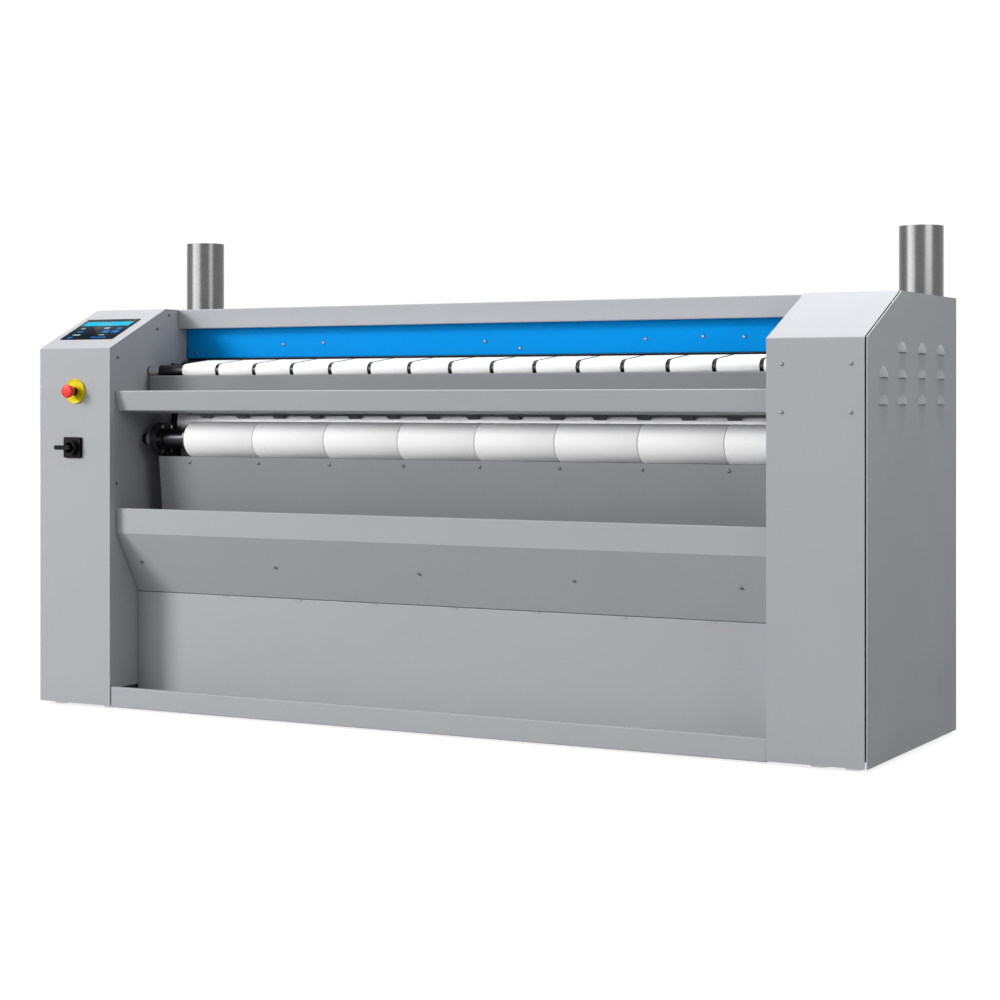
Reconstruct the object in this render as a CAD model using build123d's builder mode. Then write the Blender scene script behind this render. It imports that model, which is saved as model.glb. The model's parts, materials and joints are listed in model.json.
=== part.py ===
"""Flatwork ironer: a heated roller ironer with two side columns.

Frame: millimetres, +Z up. The origin is on the floor under the middle of the machine, +X is to the right
of someone who stands in front of it, and the front faces -Y. Depths are measured back from the front of
the columns, and heights up from the floor.
"""
from build123d import *
import math
import os

# ---------------------------------------------------------------- casing
overall_width = 2380  # over the outer panels, without their louvres
casing_depth = 680
casing_height = 1092
casing_bottom = 8  # the casing hangs this far above the floor
slant_height = 114  # from the flat top down to where the slanted top meets the upright front
front_height = casing_height - slant_height
slant_depth = 247  # where the slanted top meets the flat top
column_width = 242
sheet = 2  # thickness of the casing's sheet metal
bend = 3  # centre-line radius of a fold
seam = 1.5  # gap between neighbouring panels
flange_width = 3  # outer panel's return round the column's edges
corner_gap = 4  # between the right front cover and the outer panel's return
knob_reach = 40  # how far the emergency stop stands out of the front
gland_reach = 22  # how far the cable gland stands out of the back

# ---------------------------------------------------------------- structure
frame_plate = 8
left_frame_gap = 4  # side frame behind the left inner panel
right_frame_offset = 94  # side frame beyond the right inner panel, because the rollers run into the column
tube = 40  # base frame's square tube
tube_wall = 3
cross_tube = 30
base_bottom = 14
foot_diameter = 44
foot_height = 6
foot_stem = 10

# ---------------------------------------------------------------- rollers (depth, height of each axis)
cylinder_radius = 165
cylinder_wall = 8
cylinder_axis = (385, casing_height - 332)
front_roller_radius = 45
front_roller_axis = (157, casing_height - 362)
entry_roller_radius = 38
entry_roller_lean = 30  # how far behind the cylinder's axis the entry roller lies
rear_roller_radius = 30
rear_bottom_depth = casing_depth - 118
lower_run_slope = 5 / 9  # fall of the bands per unit of depth on their way below the cylinder
rear_bottom_axis = (rear_bottom_depth,
                    front_roller_axis[1] - (rear_bottom_depth - front_roller_axis[0]) * lower_run_slope)
rear_top_axis = (casing_depth - 90, casing_height - 107)
feed_roller_radius = 17
front_feed_axis = (176, casing_height - 175)
rear_feed_axis = (280, casing_height - 163)  # the feed bands rise towards the finger guard
roller_wall = 4
journal_diameter = 25
cylinder_journal = 60
neck_diameter = 53
running_gap = 0.4  # bands stand this far off the rollers
shaft_fit = 0.05  # radial clearance of a shaft in its bearing
pin_gap = 0.3
contact_gap = 0.1  # between faces that are pressed together

# ---------------------------------------------------------------- bands
band_thickness = 3
band_pitch = 226
band_gap = 2
bands_start = 165  # first band, from the left inner wall
bands_end_room = 11  # least room between the last band and the right side frame
feed_band_thickness = 1.5
feed_band_pitch = 121.7
feed_band_gap = 9
feed_bands_start = 123
feed_bands_end_room = 38
finger_pitch = 120.4
finger_width = 34
fingers_start = 181  # right edge of the first finger, from the left inner wall
fingers_end_room = 98  # least room between the last finger and the right inner wall

front = -(casing_depth + gland_reach - knob_reach) / 2
back = front + casing_depth
left = -overall_width / 2
right = overall_width / 2
left_wall = left + column_width
right_wall = right - column_width
left_frame = left_wall - sheet - left_frame_gap  # inner face of each side frame's plate
right_frame = right_wall + right_frame_offset
bands_left = left_wall + bands_start
band_count = int((right_frame - bands_end_room - bands_left) // band_pitch)
bands_right = bands_left + band_count * band_pitch - band_gap
feed_bands_left = left_wall + feed_bands_start
feed_band_count = int((right_frame - feed_bands_end_room - feed_bands_left) // feed_band_pitch)
first_finger = left_wall + fingers_start
finger_count = int((right_wall - fingers_end_room - first_finger) // finger_pitch) + 1
os.makedirs("parts", exist_ok=True)


def at(depth, height):
    """Point of the side view: depth behind the columns' front, height above the floor."""
    return (front + depth, height)


def finish(piece, name):
    """Label a finished sub-part and write it."""
    piece.part.label = name
    export_step(piece.part, f"parts/{name}.step")


def folded(points, start, end, thickness=sheet, side=Side.LEFT, radius=bend):
    """Sheet folded along a side-view line, from one x to another."""
    with BuildPart() as piece:
        with BuildSketch(Plane.YZ.offset(start)):
            with BuildLine():
                FilletPolyline(*points, radius=radius)
                offset(amount=thickness, side=side)
            make_face()
        extrude(amount=end - start)
    return piece.part


def bar(point, radius, start, end):
    """Round bar along x about a side-view point."""
    with BuildPart() as piece:
        with BuildSketch(Plane.YZ.offset(start)):
            with Locations(point):
                Circle(radius)
        extrude(amount=end - start)
    return piece.part


def block(low, high, start, end):
    """Box between two side-view corners, from one x to another."""
    with BuildPart() as piece:
        with BuildSketch(Plane.YZ.offset(start)):
            with Locations(((low[0] + high[0]) / 2, (low[1] + high[1]) / 2)):
                Rectangle(high[0] - low[0], high[1] - low[1])
        extrude(amount=end - start)
    return piece.part


def tube_along_x(low, size, wall, start, end):
    """Square tube along x with its lower front corner at a side-view point."""
    with BuildPart() as piece:
        with BuildSketch(Plane.YZ.offset(start)):
            with Locations((low[0] + size / 2, low[1] + size / 2)):
                Rectangle(size, size)
                Rectangle(size - 2 * wall, size - 2 * wall, mode=Mode.SUBTRACT)
        extrude(amount=end - start)
    return piece.part


def belt(wheels, thickness, start, end):
    """Closed belt round wheels, each (centre, radius, turn): turn is 1 inside the loop and -1 outside."""
    with BuildPart() as piece:
        with BuildSketch(Plane.YZ.offset(start)):
            for shift, mode in ((thickness, Mode.ADD), (0, Mode.SUBTRACT)):
                with BuildLine():
                    belt_line(wheels, thickness, shift)
                make_face(mode=mode)
        extrude(amount=end - start)
    return piece.part


def belt_line(wheels, thickness, shift):
    """Tangent lines and arcs of one face of a belt, shift outward from its inner face."""
    circles = []
    for centre, radius, turn in wheels:
        circles.append((Vector(*centre), radius + shift if turn > 0 else radius + thickness - shift, turn))
    headings = []
    for (c1, r1, t1), (c2, r2, t2) in zip(circles, circles[1:] + circles[:1]):
        span = c2 - c1
        lean = math.asin((t2 * r2 - t1 * r1) / span.length)
        headings.append(math.atan2(span.Y, span.X) - lean)
    ends = []
    for number, (centre, radius, turn) in enumerate(circles):
        arrive = headings[number - 1]
        sweep = turn * ((turn * (headings[number] - arrive)) % (2 * math.pi))
        arc = []
        for share in (0, 0.5, 1):
            heading = arrive + share * sweep
            arc.append(centre + Vector(math.sin(heading), -math.cos(heading)) * (turn * radius))
        ThreePointArc(*arc)
        ends.append((arc[0], arc[2]))
    for (_, leave), (arrive, _) in zip(ends, ends[1:] + ends[:1]):
        Line(leave, arrive)


def roller(axis, radius, wall, body, journals, journal_radius):
    """Hollow roller with a drilled disc and a journal at each end, as one solid."""
    with BuildPart() as piece:
        add(bar(axis, radius, *body))
        add(bar(axis, radius - wall, body[0] + 2 * wall, body[1] - 2 * wall), mode=Mode.SUBTRACT)
        for start, end in ((journals[0], body[0] + wall), (body[1] - wall, journals[1])):
            add(bar(axis, journal_radius, start, end))
        with BuildSketch(Plane.YZ.offset(body[0])):
            with Locations(axis):
                with PolarLocations((journal_radius + radius - wall) / 2, 4):
                    Circle((radius - wall - journal_radius) / 4)
        extrude(amount=body[1] - body[0], mode=Mode.SUBTRACT)
    return piece


def flange_bearing(axis, bore, size, face, thickness, outward):
    """Round flange bearing on a side frame's face; outward is the x direction away from the plate."""
    with BuildPart() as piece:
        add(bar(axis, size / 2, *sorted((face, face + outward * thickness / 2))))
        add(bar(axis, size / 3, *sorted((face, face + outward * thickness))))
        add(bar(axis, bore / 2 + shaft_fit, face - thickness, face + 2 * thickness), mode=Mode.SUBTRACT)
    return piece.part


def column_block(x, thickness, inset):
    """Slab with the side outline of a column, from x onward, inset from the column's outer surface."""
    with BuildPart() as piece:
        with BuildSketch(Plane.YZ.offset(x)):
            with BuildLine():
                Polyline(at(0, casing_bottom), at(0, front_height), at(slant_depth, casing_height),
                         at(casing_depth, casing_height), at(casing_depth, casing_bottom), close=True)
            make_face()
            if inset:
                offset(amount=-inset, kind=Kind.INTERSECTION, mode=Mode.REPLACE)
        extrude(amount=thickness)
    return piece.part


# ================================================================ side-view points used by several pieces
cylinder_at = at(*cylinder_axis)
front_roller_at = at(*front_roller_axis)
touch = cylinder_radius + entry_roller_radius + band_thickness + 4 * running_gap
entry_roller_at = (cylinder_at[0] + entry_roller_lean,
                   cylinder_at[1] + math.sqrt(touch ** 2 - entry_roller_lean ** 2))
rear_bottom_at = at(*rear_bottom_axis)
rear_top_at = at(*rear_top_axis)
front_feed_at = at(*front_feed_axis)
rear_feed_at = at(*rear_feed_axis)

# ================================================================ screws and their holes
screw_head = 2.5
screw_shank = 4
screw_hole = 4.4
screw_dome = 9
short_screw = 6


def screws(planes, length=8):
    """One dome-headed screw on each plane, its shank going against the plane's normal."""
    with BuildPart() as piece:
        for plane in planes:
            with BuildSketch(plane):
                Circle(screw_dome / 2)
            extrude(amount=screw_head, taper=30)
            with BuildSketch(plane):
                Circle(screw_shank / 2)
            extrude(amount=-length)
    return piece.part


def screw_holes(planes, depth=8):
    """Clearance holes for the same screws, to be subtracted."""
    with BuildPart() as piece:
        for plane in planes:
            with BuildSketch(plane.offset(1)):
                Circle(screw_hole / 2)
            extrude(amount=-depth)
    return piece.part


# ================================================================ base
cross_inset = 45
cross_xs = (left + cross_inset, left_frame - tube / 2, right_frame + tube / 2, right - cross_inset)
beam_depths = (130, casing_depth - 80)  # front and rear beam of the base
cross_start = 14
cross_end = casing_depth - 20
foot_depths = (45, casing_depth - 55)

with BuildPart() as base_frame:
    for depth in beam_depths:
        add(tube_along_x(at(depth, base_bottom), tube, tube_wall, cross_xs[0], cross_xs[-1]))
    for x in cross_xs:
        with BuildSketch(Plane.XZ.offset(-(front + cross_end))):
            with Locations((x, base_bottom + tube / 2)):
                Rectangle(tube, tube)
        extrude(amount=cross_end - cross_start)
    for x in cross_xs:
        with BuildSketch(Plane.XZ.offset(-(front + cross_end))):
            with Locations((x, base_bottom + tube / 2)):
                Rectangle(tube - 2 * tube_wall, tube - 2 * tube_wall)
        extrude(amount=cross_end - cross_start, mode=Mode.SUBTRACT)
    with BuildSketch(Plane.XY.offset(base_bottom)):
        for x in cross_xs:
            for depth in foot_depths:
                with Locations((x, front + depth)):
                    Circle(foot_stem / 2 + pin_gap)
    extrude(amount=tube_wall, mode=Mode.SUBTRACT)
finish(base_frame, "base_frame")

with BuildPart() as levelling_feet:
    for x in cross_xs:
        for depth in foot_depths:
            with BuildSketch(Plane.XY):
                with Locations((x, front + depth)):
                    Circle(foot_diameter / 2)
            extrude(amount=foot_height)
            with BuildSketch(Plane.XY.offset(foot_height)):
                with Locations((x, front + depth)):
                    RegularPolygon(foot_stem, 6)
            extrude(amount=base_bottom - foot_height)
            with BuildSketch(Plane.XY.offset(base_bottom)):
                with Locations((x, front + depth)):
                    Circle(foot_stem / 2)
            extrude(amount=tube / 2)
finish(levelling_feet, "levelling_feet")

# ================================================================ side frames and cross tubes
frame_front = 110
frame_rear = casing_depth - 12
frame_top = casing_height - 32
frame_shoulder = front_height - 20
frame_corner = 6
frame_bottom = base_bottom + tube
tube_fit = 0.5
finger_bar_low = (191, casing_height - 260)
front_tube_low = (240, casing_height - 572)
rear_tube_low = (frame_rear - cross_tube, casing_height - 392)
cross_tubes_low = (finger_bar_low, front_tube_low, rear_tube_low)
roller_axes = {
    "entry": entry_roller_at,
    "rear_bottom": rear_bottom_at,
    "rear_top": rear_top_at,
}
feed_axes = (front_feed_at, rear_feed_at)
journal_room = 3
feed_journal = 20
motor_axis = (350, 250)
motor_at = at(*motor_axis)
motor_shaft = 24


def side_frame(start, extra_holes):
    """Side frame plate with a hole for every journal; extra_holes are (point, radius)."""
    with BuildPart() as piece:
        with BuildSketch(Plane.YZ.offset(start)):
            with BuildLine():
                Polyline(at(frame_front, frame_bottom), at(frame_front, frame_shoulder),
                         at(slant_depth, frame_top), at(frame_rear, frame_top),
                         at(frame_rear, frame_bottom), close=True)
            make_face()
            with Locations(cylinder_at):
                Circle(cylinder_journal / 2 + journal_room, mode=Mode.SUBTRACT)
            for point in roller_axes.values():
                with Locations(point):
                    Circle(journal_diameter / 2 + journal_room, mode=Mode.SUBTRACT)
            for point in feed_axes:
                with Locations(point):
                    Circle(feed_journal / 2 + journal_room, mode=Mode.SUBTRACT)
            for point, radius in extra_holes:
                with Locations(point):
                    Circle(radius, mode=Mode.SUBTRACT)
        extrude(amount=frame_plate)
        fillet(piece.edges().filter_by(Axis.X), radius=frame_corner)
    return piece


front_journal_hole = (front_roller_at, journal_diameter / 2 + journal_room)
left_side_frame = side_frame(left_frame - frame_plate, [front_journal_hole])
finish(left_side_frame, "left_side_frame")
right_side_frame = side_frame(right_frame, [front_journal_hole, (motor_at, motor_shaft / 2 + journal_room)])
finish(right_side_frame, "right_side_frame")

with BuildPart() as cross_tubes:
    for low in cross_tubes_low:
        add(tube_along_x(at(*low), cross_tube, tube_wall, left_frame, right_frame))
finish(cross_tubes, "cross_tubes")

# ================================================================ columns
window_low = (274, 470)  # opening in the left inner panel, behind which the cylinder's end lies
window_high = (casing_depth - 50, casing_height - 72)
sill_height = casing_height - 197  # up to here the left window reaches forward, and above it only to the guard
sill_depth = 352
right_window_low = (96, casing_height - 452)  # the rollers run on through the right inner panel
right_window_high = (300, casing_height - 147)
right_main_low = (200, 470)
hinge_axis = (347, casing_height - 34)
hinge_at = at(*hinge_axis)
hinge_pin = 8
pipe_diameter = 110
pipe_wall = 1.5
pipe_depth = casing_depth - 80
left_pipe_x = left + column_width / 2
right_pipe_inset = 65
right_pipe_x = right - right_pipe_inset
pipe_room = 1
inner_inset = sheet + 0.5  # inner panels lie inside the covers
base_room = 1  # inner panels clear the base frame by this much

front_screw_insets = (38, 204)  # from the right column's inner face
front_screw_heights = (front_height - 170, front_height - 60)
front_screw_planes = [Plane(origin=(right_wall + inset, front, height), x_dir=(1, 0, 0), z_dir=(0, -1, 0))
                      for inset in front_screw_insets for height in front_screw_heights]
wall_screw_spots = ((33, front_height - 25), (208, casing_height - 57), (27, 610))
left_wall_planes = [Plane(origin=(left_wall, *at(*spot)), x_dir=(0, 1, 0), z_dir=(1, 0, 0))
                    for spot in wall_screw_spots]
right_wall_planes = [Plane(origin=(right_wall, *at(*spot)), x_dir=(0, 1, 0), z_dir=(-1, 0, 0))
                     for spot in wall_screw_spots]
back_screw_heights = (60, 400, 740, casing_height - 42)
outer_screw_inset = 20  # back panels' screws, from the columns' outer faces
inner_screw_inset = 14  # and from their inner faces
cover_screw_inset = 30  # rear cover's screws
back_screw_xs = (left + outer_screw_inset, left_wall - inner_screw_inset, left_wall + cover_screw_inset,
                 right_wall - cover_screw_inset, right_wall + inner_screw_inset, right - outer_screw_inset)
back_screw_planes = [Plane(origin=(x, back, z), x_dir=(-1, 0, 0), z_dir=(0, 1, 0))
                     for x in back_screw_xs for z in back_screw_heights]

slope = Vector(0, slant_depth, casing_height - front_height).normalized()
slant_normal = Vector(0, -slope.Z, slope.Y)
screen_width = 186
screen_length = 146
screen_start = 61  # up the slope, from its front fold
screen_inset = 18  # from the column's outer face
screen_body = (172, 132, 28)
screen_glass = 4
screen_corner = 4
screen_room = 0.5
screen_x = left + screen_inset + screen_width / 2
screen_centre = Vector(screen_x, front, front_height) + slope * (screen_start + screen_length / 2)
screen_plane = Plane(origin=screen_centre, x_dir=(1, 0, 0), z_dir=slant_normal)

estop_inset = 124  # from the column's outer face
estop_x = left + estop_inset
estop_height = front_height - 117.5
estop_plane = Plane(origin=(estop_x, front, estop_height), x_dir=(1, 0, 0), z_dir=(0, -1, 0))
estop_barrel = 22
switch_inset = 117
switch_x = left + switch_inset
switch_height = front_height - 271
switch_plane = Plane(origin=(switch_x, front, switch_height), x_dir=(1, 0, 0), z_dir=(0, -1, 0))
switch_stem = 8
switch_bush = 2  # room round the switch's stem for its sleeve
switch_room = 0.5


def front_cover(start, end, pipe_x):
    """Column cover folded from front, slanted top and flat top, with the exhaust pipe's hole."""
    line = (at(0, casing_bottom), at(0, front_height), at(slant_depth, casing_height),
            at(casing_depth, casing_height))
    with BuildPart() as piece:
        add(folded(line, start, end, side=Side.RIGHT))
        with BuildSketch(Plane.XY.offset(casing_height - 2 * sheet)):
            with Locations((pipe_x, front + pipe_depth)):
                Circle(pipe_diameter / 2 + pipe_room)
        extrude(amount=3 * sheet, mode=Mode.SUBTRACT)
    return piece.part


with BuildPart() as left_front_cover:
    add(front_cover(left, left_wall, left_pipe_x))
    for plane, radius in ((estop_plane, estop_barrel / 2 + pin_gap),
                          (switch_plane, switch_stem / 2 + switch_bush)):
        with BuildSketch(plane.offset(-2 * sheet)):
            Circle(radius)
        extrude(amount=3 * sheet, mode=Mode.SUBTRACT)
    with BuildSketch(screen_plane.offset(-2 * sheet)):
        Rectangle(screen_body[0] + 2 * screen_room, screen_body[1] + 2 * screen_room)
    extrude(amount=3 * sheet, mode=Mode.SUBTRACT)
finish(left_front_cover, "left_front_cover")

with BuildPart() as right_front_cover:
    add(front_cover(right_wall, right - flange_width - corner_gap, right_pipe_x))
    add(screw_holes(front_screw_planes), mode=Mode.SUBTRACT)
finish(right_front_cover, "right_front_cover")

louvre_width = 66
louvre_height = 25
louvre_reach = 10
louvre_sheet = 1.5
louvre_rows = {casing_height - 144: (248, 398, 547), casing_height - 204: (111, 248, 398, 547),
               casing_height - 266: (111, 248, 398, 547)}
louvre_spots = [(depth, height) for height, depths in louvre_rows.items() for depth in depths]
louvre_radius = (louvre_width ** 2 / 4 + louvre_height ** 2) / (2 * louvre_height)
louvre_sink = louvre_radius - louvre_height  # centre of the louvre's round, below its mouth


def louvre(inset):
    """Dome that a louvre is pressed to, inset from its outer surface, its mouth facing down."""
    half = louvre_radius - inset
    rise = louvre_reach - inset
    with BuildPart() as piece:
        with BuildSketch(Plane.XY.offset(-louvre_sink)):
            with BuildLine():
                Line((0, 0), (rise, 0))
                RadiusArc((rise, 0), (0, half), -(half ** 2 + rise ** 2) / (2 * rise))
                Line((0, half), (0, 0))
            make_face()
        revolve(axis=Axis((0, 0, -louvre_sink), (1, 0, 0)), revolution_arc=180)
        with BuildSketch(Plane.XY.offset(-louvre_sink - 1)):
            Rectangle(4 * louvre_radius, 4 * louvre_radius)
        extrude(amount=louvre_sink + 1, mode=Mode.SUBTRACT)
    return piece.part


def outer_panel(inset):
    """Louvred pan of the right column's outer side, its edges inset from the column's outline."""
    with BuildPart() as piece:
        add(column_block(right - flange_width, flange_width, inset))
        add(column_block(right - flange_width, flange_width - sheet, inset + sheet), mode=Mode.SUBTRACT)
        with Locations([(right, *at(depth, height)) for depth, height in louvre_spots]):
            add(louvre(0))
            add(louvre(louvre_sheet), mode=Mode.SUBTRACT)
        half = louvre_radius - louvre_sheet
        with BuildSketch(Plane.YZ.offset(right - 2 * sheet)):
            with Locations([at(depth, height - louvre_sink) for depth, height in louvre_spots]):
                Circle(half)
            with Locations([at(depth, height - half) for depth, height in louvre_spots]):
                Rectangle(2 * half, 2 * half, mode=Mode.SUBTRACT)
        extrude(amount=2 * sheet, mode=Mode.SUBTRACT)
    return piece.part


with BuildPart() as right_outer_panel:
    add(outer_panel(0))
finish(right_outer_panel, "right_outer_panel")

with BuildPart() as left_outer_panel:
    add(mirror(outer_panel(inner_inset), about=Plane.YZ, mode=Mode.PRIVATE))
finish(left_outer_panel, "left_outer_panel")

tube_holes = [at(low[0] + cross_tube / 2, low[1] + cross_tube / 2) for low in cross_tubes_low]


def inner_panel(start, windows, planes):
    """Column's inner panel with its windows, its tube and hinge holes and its screw holes."""
    with BuildPart() as piece:
        add(column_block(start, sheet, inner_inset))
        for low, high in windows:
            add(block(at(*low), at(*high), start - sheet, start + 2 * sheet), mode=Mode.SUBTRACT)
        add(block(at(cross_start - base_room, 0), at(cross_end + base_room, frame_bottom + base_room),
                  start - sheet, start + 2 * sheet), mode=Mode.SUBTRACT)
        with BuildSketch(Plane.YZ.offset(start - sheet)):
            for point in tube_holes:
                with Locations(point):
                    Rectangle(cross_tube + 2 * tube_fit, cross_tube + 2 * tube_fit)
            for point, radius in ((hinge_at, hinge_pin / 2 + shaft_fit),
                                  (front_feed_at, feed_journal / 2 + journal_room),
                                  (rear_feed_at, feed_journal / 2 + journal_room),
                                  (front_roller_at, journal_diameter / 2 + journal_room)):
                with Locations(point):
                    Circle(radius)
        extrude(amount=4 * sheet, mode=Mode.SUBTRACT)
        add(screw_holes(planes), mode=Mode.SUBTRACT)
    return piece


left_windows = [(window_low, (window_high[0], sill_height)), ((sill_depth, window_low[1]), window_high)]
left_inner_panel = inner_panel(left_wall - sheet, left_windows, left_wall_planes)
finish(left_inner_panel, "left_inner_panel")
right_windows = [(right_main_low, window_high), (right_window_low, right_window_high)]
right_inner_panel = inner_panel(right_wall, right_windows, right_wall_planes)
finish(right_inner_panel, "right_inner_panel")

gland_hole = 25
gland_inset = 120
gland_x = left + gland_inset
gland_height = 150
vent_slots = (6, 9)  # back panel's ventilation: slots wide, rows
vent_slot = (26, 5)
vent_pitch = (34, 14)
vent_height = 640


def back_panel(start, end, holes):
    """Column's back panel with rows of ventilation slots; holes are (x, height, radius)."""
    middle = (start + end) / 2
    with BuildPart() as piece:
        with BuildSketch(Plane.XZ.offset(-back)):
            with Locations((middle, (casing_bottom + casing_height - sheet) / 2)):
                Rectangle(end - start, casing_height - casing_bottom - 3 * sheet)
            with Locations((middle, vent_height)):
                with GridLocations(*vent_pitch, *vent_slots):
                    SlotOverall(*vent_slot, mode=Mode.SUBTRACT)
            for x, height, radius in holes:
                with Locations((x, height)):
                    Circle(radius, mode=Mode.SUBTRACT)
        extrude(amount=sheet)
        add(screw_holes(back_screw_planes), mode=Mode.SUBTRACT)
    return piece


left_back_panel = back_panel(left + flange_width + seam, left_wall - sheet - seam,
                             [(gland_x, gland_height, gland_hole / 2)])
finish(left_back_panel, "left_back_panel")
right_back_panel = back_panel(right_wall + sheet + seam, right - flange_width - seam, [])
finish(right_back_panel, "right_back_panel")

# ================================================================ sheet metal between the columns
middle_left = left_wall + seam
middle_right = right_wall - seam

kick_height = 60
kick_bottom = 5
kick_depth = 3
kick_hem = 12
lower_panel_depth = 120
fold_height = 312  # where the receiving tray's slanted face meets the lower front panel
panel_drop = 1.5  # lower panel's top edge, below that fold
panel_hem = 6

with BuildPart() as kick_rail:
    add(folded([at(kick_depth + kick_hem, kick_height), at(kick_depth, kick_height),
                at(kick_depth, kick_bottom), at(lower_panel_depth - seam, kick_bottom)],
               middle_left, middle_right))
finish(kick_rail, "kick_rail")

fold_tab = (16, 9)
fold_tab_start = 61
fold_tab_pitch = 236
fold_tab_thickness = 1.5
fold_tab_count = int((right_wall - left_wall - 2 * fold_tab_start) // fold_tab_pitch) + 1
panel_top = fold_height - panel_drop
with BuildPart() as lower_front_panel:
    add(folded([at(lower_panel_depth + panel_hem, panel_top), at(lower_panel_depth, panel_top),
                at(lower_panel_depth, casing_bottom)], middle_left, middle_right))
    for number in range(fold_tab_count):
        start = left_wall + fold_tab_start + number * fold_tab_pitch - fold_tab[0] / 2
        add(block(at(lower_panel_depth - fold_tab_thickness, panel_top - fold_tab[1] / 2),
                  at(lower_panel_depth + sheet / 4, fold_height - sheet), start, start + fold_tab[0]))
finish(lower_front_panel, "lower_front_panel")

tray_lip_top = (25, 543)
tray_lip_bottom = (27, 475)
tray_fold = (lower_panel_depth, fold_height)
tray_back_depth = 182
tray_back_drop = 8  # bottom edge behind the fold, below it
tray_back_rise = 40
tray_hem = 11
tray_screw_depth = 72
tray_screw_start = 54
tray_screw_pitch = 438
tray_screw_count = int((right_wall - left_wall - 2 * tray_screw_start) // tray_screw_pitch) + 1
tray_slope = (Vector(0, *tray_fold) - Vector(0, *tray_lip_bottom)).normalized()
tray_normal = Vector(0, tray_slope.Z, -tray_slope.Y)
tray_screw_height = tray_lip_bottom[1] + (tray_screw_depth - tray_lip_bottom[0]) * tray_slope.Z / tray_slope.Y
tray_screw_planes = [
    Plane(origin=(left_wall + tray_screw_start + number * tray_screw_pitch,
                  *at(tray_screw_depth, tray_screw_height)), x_dir=(1, 0, 0), z_dir=tray_normal)
    for number in range(tray_screw_count)]

with BuildPart() as receiving_tray:
    add(folded([at(tray_lip_top[0] + tray_hem, tray_lip_top[1]), at(*tray_lip_top), at(*tray_lip_bottom),
                at(*tray_fold), at(tray_back_depth, fold_height - tray_back_drop),
                at(tray_back_depth, fold_height + tray_back_rise)],
               middle_left, middle_right))
    add(screw_holes(tray_screw_planes), mode=Mode.SUBTRACT)
finish(receiving_tray, "receiving_tray")

chute_top = (138, casing_height - 409.5)
chute_lean = 0.101  # back per unit of height
chute_bottom_rise = 12  # bottom edge above the tray's fold
chute_bottom_height = fold_height + chute_bottom_rise
chute_inset = 60  # from the left inner wall
chute_left = left_wall + chute_inset
chute_screw_drop = 15.5  # screws, below the top edge
chute_screw_height = chute_top[1] - chute_screw_drop


def chute_depth(height):
    """Depth of the chute's front face at a height."""
    return chute_top[0] + (chute_top[1] - height) * chute_lean


seams = [bands_left - band_gap / 2 + number * band_pitch for number in range(band_count)]
chute_normal = Vector(0, -1, -chute_lean).normalized()
chute_screw_planes = [Plane(origin=(x, *at(chute_depth(chute_screw_height), chute_screw_height)),
                            x_dir=(1, 0, 0), z_dir=chute_normal) for x in seams]

with BuildPart() as linen_chute:
    with BuildSketch(Plane.YZ.offset(chute_left)):
        with BuildLine():
            Polyline(at(*chute_top), at(chute_depth(chute_bottom_height), chute_bottom_height),
                     at(chute_depth(chute_bottom_height) + sheet, chute_bottom_height),
                     at(chute_top[0] + sheet, chute_top[1]), close=True)
        make_face()
    extrude(amount=middle_right - chute_left)
    add(screw_holes(chute_screw_planes), mode=Mode.SUBTRACT)
finish(linen_chute, "linen_chute")

guide_foot = (20, 26)  # width and height of the foot screwed behind the chute
guide_sheet = 1
guide_reach = 24
guide_foot_drop = 6  # foot's middle, below the screw
guide_fin_drop = 2  # and the fin's middle
guide_fin_height = guide_foot[1] - 8
with BuildPart() as band_guides:
    for plane in chute_screw_planes:
        with BuildSketch(plane.offset(-sheet - guide_sheet)):
            with Locations((0, -guide_foot_drop)):
                Rectangle(*guide_foot)
            Circle(screw_hole / 2, mode=Mode.SUBTRACT)
        extrude(amount=guide_sheet - contact_gap)
        with BuildSketch(plane.offset(-sheet - guide_reach)):
            with Locations((0, -guide_fin_drop)):
                Rectangle(guide_sheet, guide_fin_height)
        extrude(amount=guide_reach - guide_sheet)
    add(screw_holes([plane.offset(-1) for plane in chute_screw_planes], 12), mode=Mode.SUBTRACT)
finish(band_guides, "band_guides")

trough_lip_top = (20, casing_height - 230)
trough_lip_bottom = (34, casing_height - 284)
trough_hem = 10
trough_back_depth = 148
trough_back_drop = 8  # bottom edge at the back, below the lip's
trough_back_rise = 20
apron_depth = 151
apron_top = casing_height - 188
apron_hem = 7
apron_drop = 2  # bottom edge, below the trough's lip
apron_inset = 19
apron_left = left_wall + apron_inset
apron_right = right_wall - apron_inset
with BuildPart() as feed_trough:
    add(folded([at(trough_lip_top[0] + trough_hem, trough_lip_top[1]), at(*trough_lip_top),
                at(*trough_lip_bottom), at(trough_back_depth, trough_lip_bottom[1] - trough_back_drop),
                at(trough_back_depth, trough_lip_bottom[1] + trough_back_rise)], middle_left, middle_right))
finish(feed_trough, "feed_trough")

with BuildPart() as feed_apron:
    add(folded([at(apron_depth + apron_hem, apron_top), at(apron_depth, apron_top),
                at(apron_depth, trough_lip_bottom[1] - apron_drop)], apron_left, apron_right))
finish(feed_apron, "feed_apron")

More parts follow.
